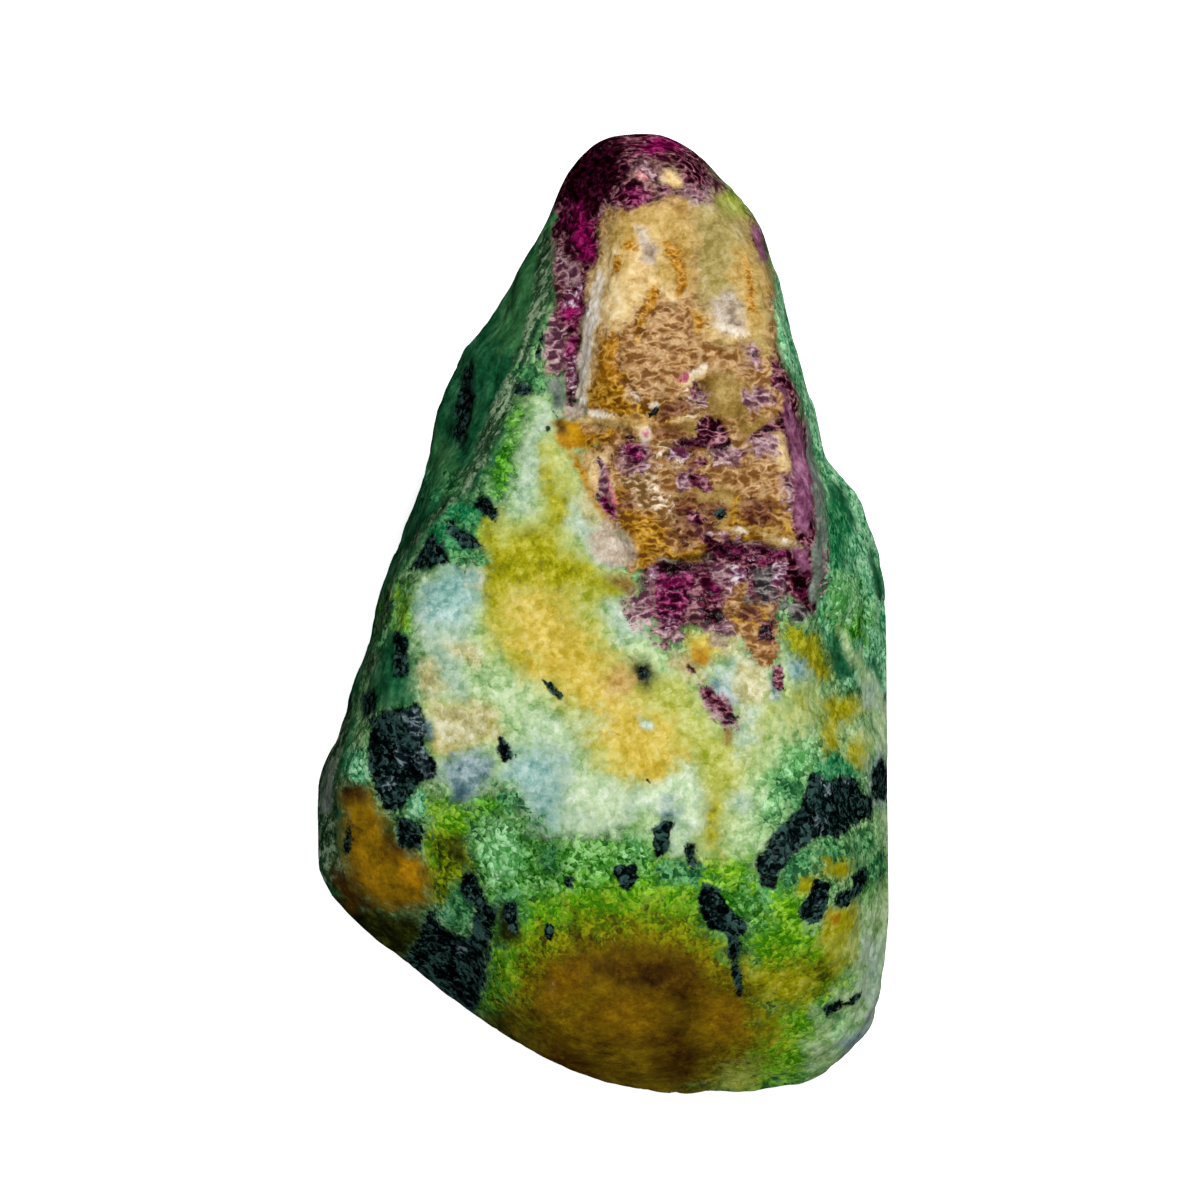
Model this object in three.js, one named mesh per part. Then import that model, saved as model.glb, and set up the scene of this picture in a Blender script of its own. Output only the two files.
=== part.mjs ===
// A rough piece of ruby in zoisite, lying on its back with its best face up.
// Millimetres, +Z up, +Y towards the narrow ruby tip, +X to the right of the face.
// The origin is the middle of the bounding box in X and Y, on the plane the stone rests on.

import * as THREE from "three";
import { mergeVertices } from "three/addons/utils/BufferGeometryUtils.js";
import { ImprovedNoise } from "three/addons/math/ImprovedNoise.js";

// Driving dimensions
const stoneLength = 56.3;
const stoneWidth = 33.1;
const stoneThickness = 24.5;
const meshDetail = 21; // rows of triangles on each face of the starting icosahedron
const edgeWear = 0.75; // how softly the big faces run into each other
const crispWear = 0.28; // the same for the ruby's edges and the chips
const breakWear = 0.55; // the same for the broken notches and the ruby's hollow
const girdleHeight = 9.5; // height of the widest line round the stone
const girdleBulge = 0.013; // how fast the sides draw in away from that line
const restHeight = -1.5; // the plane the stone rests on
const girdleAllowance = 0.15; // what the soft edges take off the outline
const evenings = 16; // rounds of spreading the corners evenly over the surface
const bestFacePull = 1.3; // how much closer the corners stand on the upper side
const evenStep = 0.6; // how far a corner goes in each round
const softenings = 2; // rounds that wear the sharpest edges down at the end
const softenStep = 0.35;

// Directions are seen from here, inside the stone
const heart = new THREE.Vector3(0, -2, 12.5);

// The outline seen from above, clockwise from the tip
const outlinePoints = [
  [1.2, 28.1], [3.4, 27.9], [5.0, 27.0], [6.6, 25.2], [8.7, 22.9], [9.5, 20.9],
  [10.9, 15.9], [12.1, 11.2], [12.7, 9.1], [14.4, 7.4], [15.7, 4.2], [16.4, 0.6],
  [16.3, -3.4], [16.6, -6.4], [16.4, -12.0], [16.5, -16.2], [15.9, -21.4], [15.0, -24.2],
  [13.2, -26.2], [11.4, -27.6], [7.4, -28.1], [2.7, -27.8], [-3.1, -25.6], [-7.7, -22.7],
  [-11.6, -19.8], [-15.0, -17.0], [-16.5, -13.8], [-16.6, -11.0], [-15.5, -7.0], [-13.4, -0.8],
  [-12.3, 3.2], [-10.4, 8.8], [-9.7, 11.6], [-8.5, 14.4], [-6.9, 16.5], [-4.4, 21.0],
  [-3.0, 23.6], [-2.5, 25.6], [-0.9, 27.5],
];

// Size in millimetres of each kind of lump, and where in the noise it is taken
const lumps = new ImprovedNoise();
const broadLumps = { size: 9, seed: 3.7 };
const fineLumps = { size: 3.1, seed: 11.3 };
const chipLumps = { size: 4.4, seed: 23.9 };

// A flat face: a point on it, and the way it looks
function face(x, y, z, nx, ny, nz) {
  const normal = new THREE.Vector3(nx, ny, nz).normalize();
  return { normal, offset: normal.dot(new THREE.Vector3(x, y, z)) };
}

// Signed distance to a face, positive outside
function outside(point, { normal, offset }) {
  return normal.dot(point) - offset;
}

function softMax(values, softness) {
  const most = Math.max(...values);
  const sum = values.reduce((total, value) => total + Math.exp((value - most) / softness), 0);
  return most + softness * Math.log(sum);
}

function softMin(values, softness) {
  return -softMax(values.map((value) => -value), softness);
}

// The zoisite's big worn faces
const zoisiteFaces = [
  face(-4, -3, 20.9, -0.14, 0.14, 1), // pale broad face
  face(3, -12.5, 23.1, 0.0, -0.3, 1), // lower face, turning down
  face(3, -19.5, 20.9, 0.05, -0.8, 1), // bottom, stained brown
  face(4, -25.5, 15.6, 0.1, -2.0, 1), // bottom edge
  face(-9.4, 5.6, 18.9, -2.0, 1.09, 1), // upper left flank
  face(-13.1, -3, 18.2, -2.1, 0.55, 1), // middle left flank
  face(-9.5, -10.5, 19.7, -0.3, -0.22, 0.9), // lower left, above the orange patch
  face(-12.5, -14.5, 16.2, -0.62, -0.5, 0.6), // orange patch
  face(11, -8, 22.4, 0.42, 0.02, 1), // right lobe
  face(15.2, -14, 18.2, 0.93, -0.1, 0.36), // right flank
  face(13.2, -23, 16.8, 0.5, -0.75, 0.55), // lower right corner
  face(4, 26, 17.2, 0.1, 0.75, 0.6), // end of the tip
  face(9.6, 18, 17.0, 0.9, 0.15, 0.42), // right side of the tip
  face(0, 6, restHeight, 0.05, 0.36, -0.93), // underside towards the tip
  face(8.5, -4, restHeight, 0.66, 0.1, -0.75), // underside right
  face(-7.5, -3, restHeight, -0.6, 0.2, -0.78), // underside left
  face(2, -17, restHeight, 0.1, -0.66, -0.75), // underside bottom
  face(-8.5, -13, restHeight + 0.6, -0.55, -0.45, -0.7), // underside lower left
];

// Places where a chunk of zoisite has broken away: what is outside every face of one is gone
const zoisiteNotches = [
  // strip beside the ruby, above the pale shelf
  [face(-4, 12.6, 18, 0.3, 0.9, 0.3), face(-2.4, 12.5, 17.8, -0.1, 0.295, 1)],
  // shoulder below the ruby's right wall
  [
    face(12.6, 3, 18, 0.97, 0.15, 0.2),
    face(13.4, -1.6, 17, 0.55, 0.5, 0.6),
    face(13.4, 4, 15.2, 0.64, 0.04, 0.76),
  ],
];

// Shell-shaped chips: each is a ball that has been scooped out of the stone
const scoops = [
  { at: [25.0, -8.0, 1.0], radius: 10.4 },
  { at: [24.6, -18.5, 7.5], radius: 9.2 },
  { at: [19.6, 12.5, 3.0], radius: 9.4 },
  { at: [21.6, 3.2, 10.5], radius: 6.4 },
  { at: [-24.0, -3.0, 2.5], radius: 11.6 },
  { at: [-19.6, -14.0, -0.5], radius: 7.6 },
  { at: [-16.6, 8.5, 1.5], radius: 7.4 },
  { at: [-10.8, 23.6, 3.0], radius: 7.8 },
  { at: [6.0, -34.2, 3.0], radius: 8.8 },
  { at: [-9.0, -31.5, 5.0], radius: 9.6 },
  { at: [20.6, -30.5, 12.2], radius: 9.4 },
  { at: [9.0, 29.0, 1.5], radius: 7.6 },
].map(({ at, radius }) => ({ middle: new THREE.Vector3(...at), radius }));

// Soft hollows, where the dark hornblende has weathered, and swellings, with a depth below zero
const hollows = [
  { at: [12.2, -11.2, 21.4], radius: 2.6, depth: 0.5 },
  { at: [6.8, -17.6, 21.2], radius: 1.8, depth: 0.5 },
  { at: [-8.8, -20.2, 14.5], radius: 2.8, depth: 0.7 },
  { at: [-12.2, -8.6, 17.6], radius: 2.4, depth: 0.45 },
  { at: [-1.9, 10.8, 19.3], radius: 1.4, depth: 0.8 },
  { at: [4.8, -13.8, 22.4], radius: 1.3, depth: 0.5 },
  { at: [-8.6, 12.0, 13.5], radius: 2.6, depth: 0.7 },
  { at: [13.0, -17.0, 19.4], radius: 1.6, depth: 0.4 },
  { at: [2.0, -22.0, 19.4], radius: 5.0, depth: -0.5 },
  { at: [-13.6, -13.4, 15.2], radius: 2.8, depth: -0.4 },
  { at: [1.5, -8.5, 22.4], radius: 3.4, depth: -0.45 },
].map(({ at, radius, depth }) => ({ middle: new THREE.Vector3(...at), radius, depth }));

// The ruby crystal's faces: it stands a little proud of the zoisite
const rubyFaces = [
  face(5, 12, 20.9, -0.06, 0.28, 1), // upper stained face
  face(6, 8, 21.1, -0.16, 0.05, 1), // lower stained face
  face(-0.4, 12.5, 20.5, -0.82, 0.234, 0.57), // left wall
  face(0.2, 7, 20.6, -0.86, -0.42, 0.3), // lower left wall
  face(11.0, 12, 19, 0.97, 0.15, 0.25), // right wall
  face(6, 3.5, 21.5, 0.08, -0.78, 0.6), // broken end
  face(2, 27.6, 15, 0, 0.9, 0.3), // tip
  face(3, 10, 8, 0, 0, -1), // buried
];

// Hollow left by the broken end of the ruby: rough ruby shows in its floor
const rubyHollow = [
  face(6, 3.3, 21.0, 0.08, -0.8, 0.6),
  face(2.6, 0.5, 21.0, 0.7, -0.45, 0.6),
  face(7, 3, 20.1, -0.05, 0.27, 1),
];

let outlineRadii;

function makeOutline() {
  const curve = new THREE.CatmullRomCurve3(
    outlinePoints.map(([x, y]) => new THREE.Vector3(x, y, 0)), true, "centripetal");
  return curve.getPoints(720)
    .map(({ x, y }) => {
      const dx = x - heart.x;
      const dy = y - heart.y;
      return { angle: Math.atan2(dy, dx), radius: Math.hypot(dx, dy) };
    })
    .sort((a, b) => a.angle - b.angle);
}

function outlineRadius(angle) {
  const list = outlineRadii;
  const next = list.findIndex((entry) => entry.angle >= angle);
  const high = next < 0 ? 0 : next;
  const low = (high + list.length - 1) % list.length;
  const span = (list[high].angle - list[low].angle + 2 * Math.PI) % (2 * Math.PI) || 1;
  const part = ((angle - list[low].angle + 2 * Math.PI) % (2 * Math.PI)) / span;
  return THREE.MathUtils.lerp(list[low].radius, list[high].radius, Math.min(part, 1));
}

// Below zero inside the stone, above zero outside
function stoneField(point) {
  const dx = point.x - heart.x;
  const dy = point.y - heart.y;
  const away = point.z - girdleHeight;
  const girdle = outlineRadius(Math.atan2(dy, dx)) + girdleAllowance;
  const side = Math.hypot(dx, dy) - girdle + girdleBulge * away * away;
  let zoisite = softMax([side, ...zoisiteFaces.map((one) => outside(point, one))], edgeWear);
  for (const notch of zoisiteNotches) {
    const missing = softMin(notch.map((one) => outside(point, one)), breakWear);
    zoisite = softMax([zoisite, missing], breakWear);
  }
  const ruby = softMax([side, ...rubyFaces.map((one) => outside(point, one))], crispWear);
  const whole = softMin([zoisite, ruby], crispWear);
  const hollow = softMin(rubyHollow.map((one) => outside(point, one)), breakWear);
  const chips = scoops.map(({ middle, radius }) => radius - point.distanceTo(middle));
  const broken = softMax([softMax([whole, hollow], breakWear), ...chips], crispWear);
  return broken - roughness(point) + weathering(point);
}

// Lumps and hollows: gentle on the upper side and along the outline, rougher below
function roughness(point) {
  const at = ({ size, seed }) => lumps.noise(point.x / size + seed, point.y / size, point.z / size);
  const upper = THREE.MathUtils.smoothstep(point.z, girdleHeight + 1, girdleHeight + 8);
  const lower = THREE.MathUtils.smoothstep(girdleHeight - point.z, 1, 7);
  const chips = 0.35 - Math.abs(at(chipLumps));
  return (0.35 + 0.45 * upper + 0.9 * lower) * at(broadLumps)
    + (0.16 + 0.14 * upper + 0.14 * lower) * at(fineLumps)
    + 0.6 * lower * chips;
}

function weathering(point) {
  return hollows.reduce((total, { middle, radius, depth }) =>
    total + depth * Math.exp(-point.distanceToSquared(middle) / (radius * radius)), 0);
}

const halvings = 22;
const probe = 0.05; // how far the field's slope is measured
const longestMove = 1;

// The point of the surface that the heart sees in a direction
function surfacePoint(direction) {
  let near = 2; // always inside the stone
  let far = 45; // always outside it
  for (let step = 0; step < halvings; step += 1) {
    const middle = (near + far) / 2;
    const point = heart.clone().addScaledVector(direction, middle);
    if (stoneField(point) > 0) far = middle;
    else near = middle;
  }
  return heart.clone().addScaledVector(direction, near);
}

// Moves a point that is near the surface onto it, along the field's slope
function settle(point) {
  const here = stoneField(point);
  const slope = new THREE.Vector3();
  for (const axis of ["x", "y", "z"]) {
    const beside = point.clone();
    beside[axis] += probe;
    slope[axis] = (stoneField(beside) - here) / probe;
  }
  const move = THREE.MathUtils.clamp(-here / slope.lengthSq(), -longestMove, longestMove);
  return point.addScaledVector(slope, move);
}

function neighboursOf(geometry) {
  const around = Array.from({ length: geometry.getAttribute("position").count }, () => new Set());
  const corners = geometry.index.array;
  for (let first = 0; first < corners.length; first += 3) {
    for (let turn = 0; turn < 3; turn += 1) {
      const from = corners[first + turn];
      const to = corners[first + ((turn + 1) % 3)];
      around[from].add(to);
      around[to].add(from);
    }
  }
  return around.map((set) => [...set]);
}

// The middle of a corner's neighbours, where those on the upper side pull harder
function middleAround(points, neighbours) {
  const middle = new THREE.Vector3();
  let weights = 0;
  for (const other of neighbours) {
    const upper = THREE.MathUtils.smoothstep(points[other].z, girdleHeight, girdleHeight + 8);
    const weight = 1 + bestFacePull * upper;
    middle.addScaledVector(points[other], weight);
    weights += weight;
  }
  return middle.divideScalar(weights);
}

// Slides every corner towards the middle of its neighbours and back onto the surface
function evenOut(points, around) {
  return points.map((point, index) => {
    const slid = point.clone().lerp(middleAround(points, around[index]), evenStep);
    return settle(settle(slid));
  });
}

function soften(points, around) {
  return points.map((point, index) => point.clone().lerp(middleAround(points, around[index]), softenStep));
}

function stoneGeometry() {
  outlineRadii = makeOutline();
  const ball = new THREE.IcosahedronGeometry(1, meshDetail);
  ball.deleteAttribute("normal");
  ball.deleteAttribute("uv");
  const geometry = mergeVertices(ball, 1e-5);
  const position = geometry.getAttribute("position");
  const around = neighboursOf(geometry);
  const stretch = new THREE.Vector3(stoneWidth, stoneLength, stoneThickness);
  let points = Array.from({ length: position.count }, (_, index) =>
    surfacePoint(new THREE.Vector3().fromBufferAttribute(position, index).multiply(stretch).normalize()));
  for (let round = 0; round < evenings; round += 1) points = evenOut(points, around);
  for (let round = 0; round < softenings; round += 1) points = soften(points, around);
  points.forEach(({ x, y, z }, index) => position.setXYZ(index, x, y, Math.max(z, restHeight)));
  geometry.computeBoundingBox();
  const { min, max } = geometry.boundingBox;
  geometry.translate(-(min.x + max.x) / 2, -(min.y + max.y) / 2, -min.z);
  geometry.computeVertexNormals();
  return geometry;
}

const stone = new THREE.Mesh(
  stoneGeometry(),
  new THREE.MeshStandardMaterial({ color: 0x4f7a3a, roughness: 0.55, metalness: 0 }),
);
stone.name = "ruby_in_zoisite_stone";

const group = new THREE.Group();
group.add(stone);

export default group;
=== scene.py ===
# Rough ruby in zoisite on a pale floor, seen from straight above.
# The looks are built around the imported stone: metres, +Z up, +Y towards the ruby tip.
# Places on the best face are given as (x, y) in millimetres.

import bpy
import math
import numpy as np
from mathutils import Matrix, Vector, noise


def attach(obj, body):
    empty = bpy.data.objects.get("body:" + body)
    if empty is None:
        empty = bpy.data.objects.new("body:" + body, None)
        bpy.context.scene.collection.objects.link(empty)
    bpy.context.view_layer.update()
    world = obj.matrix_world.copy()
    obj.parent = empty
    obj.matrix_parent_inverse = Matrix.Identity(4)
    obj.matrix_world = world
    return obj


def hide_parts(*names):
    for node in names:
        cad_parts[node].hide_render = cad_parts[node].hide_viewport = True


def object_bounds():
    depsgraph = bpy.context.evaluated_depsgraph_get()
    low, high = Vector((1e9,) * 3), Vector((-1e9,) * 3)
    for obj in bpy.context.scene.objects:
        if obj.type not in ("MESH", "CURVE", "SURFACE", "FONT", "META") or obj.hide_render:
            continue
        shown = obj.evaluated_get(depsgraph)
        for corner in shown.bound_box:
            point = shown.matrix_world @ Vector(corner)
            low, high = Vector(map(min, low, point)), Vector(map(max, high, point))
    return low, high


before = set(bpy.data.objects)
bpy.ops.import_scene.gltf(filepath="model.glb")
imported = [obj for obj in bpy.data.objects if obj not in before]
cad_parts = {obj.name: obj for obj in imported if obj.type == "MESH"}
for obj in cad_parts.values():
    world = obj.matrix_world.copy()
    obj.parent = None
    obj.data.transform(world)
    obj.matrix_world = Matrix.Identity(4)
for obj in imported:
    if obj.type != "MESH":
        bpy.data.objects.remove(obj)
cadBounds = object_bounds()
scene = bpy.context.scene
millimetre = 0.001
bpy.ops.object.select_all(action="DESELECT")


# Small helpers for shapes

farAway = 1e9
seedSteps = (7.31, 3.17, 5.77)  # a seed moves the noise this far, so that no two are alike


def activate(piece):
    bpy.ops.object.select_all(action="DESELECT")
    piece.select_set(True)
    bpy.context.view_layer.objects.active = piece


def readTriples(mesh, name):
    triples = np.empty(len(mesh.vertices) * 3)
    mesh.vertices.foreach_get(name, triples)
    return triples.reshape(-1, 3)


def writePoints(mesh, points):
    mesh.vertices.foreach_set("co", (points * millimetre).ravel())
    mesh.update()


def smoothStep(value, low, high):
    part = np.clip((value - low) / (high - low), 0, 1)
    return part * part * (3 - 2 * part)


def noiseAt(points, size, seed):
    # a smooth random value for each point, about -1 to 1
    shift = Vector([seed * step for step in seedSteps])
    return np.array([noise.noise(Vector(point) / size + shift) for point in points])


def fractalAt(points, size, seed, octaves):
    total = noiseAt(points, size, seed)
    for octave in range(1, octaves):
        total += noiseAt(points, size / 2 ** octave, seed + octave) / 2 ** octave
    return total


def distanceToPath(flat, corners):
    # how far each flat point is from a path through (x, y) corners
    nearest = np.full(len(flat), farAway)
    for (x0, y0), (x1, y1) in zip(corners[:-1], corners[1:]):
        alongX, alongY = x1 - x0, y1 - y0
        offX, offY = flat[:, 0] - x0, flat[:, 1] - y0
        part = np.clip((offX * alongX + offY * alongY) / (alongX ** 2 + alongY ** 2), 0, 1)
        nearest = np.minimum(nearest, np.hypot(offX - part * alongX, offY - part * alongY))
    return nearest


def insideBy(flat, corners):
    # how far each flat point is inside an outline of (x, y) corners, below zero outside
    closed = corners + corners[:1]
    inside = np.zeros(len(flat), bool)
    for (x0, y0), (x1, y1) in zip(closed[:-1], closed[1:]):
        if y0 != y1:
            crosses = (y0 > flat[:, 1]) != (y1 > flat[:, 1])
            inside ^= crosses & (flat[:, 0] - x0 < (x1 - x0) * (flat[:, 1] - y0) / (y1 - y0))
    nearest = distanceToPath(flat, closed)
    return np.where(inside, nearest, -nearest)


# Colours are given as sRGB values from 0 to 255 and turned into linear ones

def srgb(red, green, blue):
    def linear(part):
        part = part / 255
        return part / 12.92 if part <= 0.04045 else ((part + 0.055) / 1.055) ** 2.4
    return (linear(red), linear(green), linear(blue), 1)


# The minerals and stains of the best face, in the order in which they are laid over each other.
# Tones are the dark, middle and light colour of one, and field is the pattern that they follow.
# Edge and ragged say how soft and how eaten away its border is, and spread widens all its patches' edges.
# Rough is its roughness and grainy is how much of the crystal grain shows.
# Each patch is (edge softness in millimetres, corners clockwise or counter-clockwise).

minerals = {
    "emerald": {  # plain deep green of the right shoulder
        "tones": [srgb(28, 118, 70), srgb(106, 182, 128), srgb(168, 220, 172)],
        "field": "sugary", "edge": 0.6, "ragged": 3, "spread": 1.2, "rough": 0.5, "grainy": 0.6,
        "patches": [
            (0.5, [(12.6, 9.4), (12.8, 7.4), (12.8, 5.4), (12.9, 3.6), (12.7, 2), (12.5, 0.8), (12.4, -0.4),
                   (13.1, -1.6), (13.2, -3), (14, -4), (15.2, -4.4), (16.2, -6.4), (18, -9), (20, -6),
                   (20, 6), (15, 10)]),
            (0.6, [(9.9, 19.4), (9.8, 17), (10.4, 15), (11.2, 13.4), (11.8, 11), (12.4, 9), (12.9, 7),
                   (16, 8), (14, 16), (11, 22), (9.8, 21.4)]),
            (0.4, [(-9.4, -16.4), (-8.6, -16.4), (-8.2, -17.6), (-8.8, -18.2), (-9.6, -17.6)]),
            (0.5, [(-15.2, -7.9), (-13.8, -7.9), (-13.5, -9.6), (-14.2, -10.1), (-15.2, -9.4)]),
            (0.4, [(-11.5, -10.3), (-10.4, -10.1), (-10.4, -11.6), (-11.2, -12)]),
        ],
    },
    "deepGreen": {  # fibrous dark green of the left flank
        "tones": [srgb(4, 56, 30), srgb(24, 96, 56), srgb(68, 128, 84)],
        "field": "cloudy", "edge": 0.6, "ragged": 3, "spread": 1.2, "rough": 0.5, "grainy": 0.25,
        "patches": [
            (0.5, [(-3, 25), (-2.7, 22.8), (-2.9, 21), (-2.8, 19), (-3.2, 17.4), (-4, 15.8), (-4.3, 14.2),
                   (-4.4, 13.2), (-5, 12.6), (-5.4, 11.6), (-5.8, 10.2), (-6.2, 9), (-6.9, 8), (-7.8, 6.8),
                   (-8.6, 5.9), (-9.8, 4.7), (-10.8, 3.7), (-11.7, 2.5), (-12.7, 1.1), (-13.1, -0.4),
                   (-13.5, -2.4), (-14.1, -4.4), (-14.4, -6.6), (-14.9, -8.2), (-15.4, -9.8),
                   (-15.1, -11.6), (-15, -13.4), (-15.2, -15.4), (-14.8, -17.2), (-20, -18), (-22, 0),
                   (-14, 14), (-8, 24), (-4, 27)]),
            (0.35, [(13.1, 8), (14, 7.3), (14.7, 5.6), (14.4, 4.4), (13.8, 5.4), (13.2, 6.6)]),
            (0.3, [(15.4, 4.2), (15.9, 3), (16.5, 1.2), (16.2, 0.6), (15.8, 1.4), (15.5, 2.6)]),
            (0.35, [(13.4, -1), (14.3, -1.5), (14.9, -2.6), (14.5, -3.8), (13.6, -3.6), (13.1, -2.2)]),
            (0.3, [(15.4, -2.2), (16.1, -2.9), (16.4, -4.4), (15.7, -3.6)]),
            (0.7, [(-13, -1), (-11.4, -0.9), (-10.9, -2.4), (-10.8, -4), (-10.6, -5.4), (-12, -5.4),
                   (-13, -5.6), (-14.1, -5.8), (-13.6, -3.4)]),
            (0.6, [(-10.9, 3.4), (-9.4, 4.8), (-8, 6.4), (-6.9, 7), (-6.1, 5.6), (-6.9, 4.2), (-8.2, 3.6),
                   (-9.2, 2.8), (-10.6, 2.3)]),
            (0.5, [(12.4, -22.8), (13.6, -22), (14.4, -22.6), (13.4, -24.4), (12.6, -24.8)]),
        ],
    },
    "viridian": {  # clear strong green of the shoulder
        "tones": [srgb(0, 84, 44), srgb(26, 124, 72), srgb(88, 166, 108)],
        "field": "sugary", "edge": 0.6, "ragged": 3, "spread": 1.2, "rough": 0.5, "grainy": 0.5,
        "patches": [
            (0.4, [(12.9, 6.8), (13.7, 6.4), (14.5, 5), (14.3, 3), (14, 1.2), (13.4, 0.8), (13.1, 2.2),
                   (13.05, 4.2)]),
            (0.3, [(-10.2, 5.2), (-8.6, 6.4), (-7.2, 6.2), (-6.8, 4.6), (-7.1, 3.7), (-8.4, 3.3),
                   (-9.8, 3.3)]),
            (0.4, [(12.2, -8.4), (13.4, -8), (15, -8.6), (15.2, -9.6), (13.8, -9.4), (13, -9.8),
                   (12, -9.2)]),
            (0.4, [(12.4, -22.4), (13.6, -21.8), (14.4, -22.2), (13.8, -23.2), (12.8, -23)]),
            (0.35, [(-8.8, -16), (-7.9, -16.2), (-7.7, -18), (-8.4, -18.6), (-9, -17.6)]),
            (0.4, [(-10.6, 8.4), (-9.6, 8.6), (-9.2, 7), (-10.2, 6.6)]),
        ],
    },
    "grass": {  # bright yellowish green
        "tones": [srgb(22, 88, 0), srgb(60, 136, 6), srgb(112, 184, 58)],
        "field": "sugary", "edge": 0.6, "ragged": 4, "spread": 1.2, "rough": 0.5, "grainy": 0.9,
        "patches": [
            (0.5, [(-12.9, 0.2), (-12, 1.7), (-11.2, 1.5), (-11, 0.2), (-11.4, -1), (-12.7, -1.1)]),
            (0.6, [(-4.9, 12.3), (-4.4, 11.8), (-4.8, 10.6), (-5, 9.2), (-5, 8), (-5.6, 7), (-6.5, 7),
                   (-6.2, 8.6), (-5.8, 9.8), (-5.6, 11.2)]),
            (0.6, [(13.8, -1.4), (15.2, -1.6), (15.2, 0.8), (14.4, 2), (13.4, 1.6), (13, 0.4)]),
            (0.7, [(-6.6, -19.4), (-5.2, -19.6), (-4.9, -22), (-5.8, -23.6), (-7.2, -23), (-6.6, -21.2)]),
            (1.1, [(9.4, -24.6), (10.2, -23.2), (11.8, -22.6), (12.8, -24), (13, -25.8), (11.4, -26.8),
                   (9.8, -27.4), (9, -26)]),
            (0.8, [(8.8, -15.8), (10.6, -15.6), (11.4, -17), (11, -19.6), (9.2, -20), (8.6, -18)]),
            (1.2, [(-3, -13.4), (0, -13.8), (3, -14), (6, -15), (8.4, -15), (9, -17), (8.4, -19),
                   (5.4, -18.4), (2, -17.8), (-1, -17.6), (-4, -18.6), (-5.6, -20), (-6.2, -18.6),
                   (-4.4, -16)]),
            (0.6, [(-5.6, 10.2), (-5, 10), (-5, 8.2), (-5.8, 7.2), (-6.6, 7.6), (-6.2, 9.2)]),
            (0.7, [(-3.4, -13), (-1, -12.9), (2, -12.9), (3.2, -13.6), (2.6, -15), (0, -15.4),
                   (-2.6, -15.2), (-3.8, -14)]),
            (0.6, [(-7.8, -10.4), (-6.2, -10), (-4.8, -11), (-4.2, -12.4), (-5.6, -12), (-7.4, -11.8)]),
            (0.4, [(13, 1.6), (13.8, 1.4), (14.8, 0.4), (14.6, -0.8), (13.4, -0.4)]),
        ],
    },
    "fern": {  # lighter green of the left flank
        "tones": [srgb(22, 78, 36), srgb(52, 114, 62), srgb(84, 142, 90)],
        "field": "cloudy", "edge": 0.6, "ragged": 3, "spread": 1.3, "rough": 0.5, "grainy": 0.3,
        "patches": [
            (0.6, [(-3, 24.6), (-2.9, 21), (-2.9, 19), (-3.3, 17.2), (-4.6, 15.2), (-6, 15.4), (-6.4, 16.6),
                   (-5, 20), (-3.7, 22.8)]),
            (0.6, [(-9.4, 10.6), (-8.4, 9), (-8.6, 7.6), (-9.8, 7.2), (-10.2, 8.6)]),
        ],
    },
    "striae": {  # pale fibres along the left ridge and round the rim
        "tones": [srgb(8, 38, 20), srgb(48, 84, 50), srgb(148, 170, 134)],
        "field": "streaky", "edge": 0.5, "ragged": 2, "spread": 1.2, "rough": 0.5, "grainy": 0.4,
        "patches": [
            (0.35, [(-3.1, 22.5), (-2.9, 20), (-3.1, 18), (-3.7, 16.6), (-4.2, 15), (-4.6, 13.4),
                    (-5.2, 12.2), (-5.9, 10.4), (-6.8, 8.6), (-8, 7.2), (-9.6, 5.6), (-11, 4), (-11.6, 3.2),
                    (-12.2, 2.6), (-10.5, 5.2), (-8.9, 7.2), (-7.7, 9), (-6.9, 10.8), (-6.2, 12.6),
                    (-5.4, 14.4), (-4.8, 16.2), (-4.2, 18.2), (-3.9, 20.2), (-3.6, 22.2)]),
            (0.4, [(-14.3, -4.6), (-14.9, -7), (-15.3, -9), (-15.5, -11.5), (-15.3, -14), (-14.7, -16.2),
                   (-15.8, -16), (-17.4, -13), (-17.4, -10), (-16, -6)]),
            (0.4, [(15.5, -5), (15.9, -6.6), (16, -9), (17.5, -9), (17.5, -4)]),
            (0.35, [(-12.1, 2.4), (-12.6, 1), (-13.1, -1), (-13.9, -3.8), (-13.1, -3), (-12.5, -0.8),
                    (-12, 1)]),
        ],
    },
    "jade": {  # bright sugary green of the lower half
        "tones": [srgb(18, 86, 4), srgb(76, 146, 50), srgb(142, 198, 118)],
        "field": "sugary", "edge": 0.7, "ragged": 4, "spread": 1.2, "rough": 0.5, "grainy": 0.8,
        "patches": [
            (1.0, [(-7.4, -12), (-5.4, -12.4), (-3.4, -13), (-1, -13.2), (2.6, -13.8), (2.4, -15),
                   (-1, -15.4), (-3.6, -16.6), (-5.4, -18.6), (-6.4, -18.4), (-6.8, -17), (-7.6, -15),
                   (-7.9, -13.4)]),
            (0.8, [(7.2, -12.6), (9, -12.4), (8.8, -14.6), (9, -16), (10.4, -15.8), (11.6, -16),
                   (11.4, -17.2), (11, -18.4), (9.6, -18.8), (8.8, -18), (7.8, -17), (6.9, -15.6),
                   (5.8, -15.2), (6.9, -14.2)]),
            (0.6, [(14.8, -16), (16, -14.4), (17.6, -14), (17, -20), (15.4, -26), (13.2, -26.6),
                   (13.9, -24), (14.6, -21.6), (14.9, -19)]),
        ],
    },
    "celadon": {  # light clear green
        "tones": [srgb(64, 140, 60), srgb(112, 180, 108), srgb(166, 218, 160)],
        "field": "sugary", "edge": 0.7, "ragged": 4, "spread": 1.2, "rough": 0.5, "grainy": 0.6,
        "patches": [
            (0.7, [(9.2, -7.4), (11, -7), (12.6, -7.8), (12, -9), (11.4, -10.6), (9.8, -12), (8.8, -10.8),
                   (8.6, -9)]),
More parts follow.
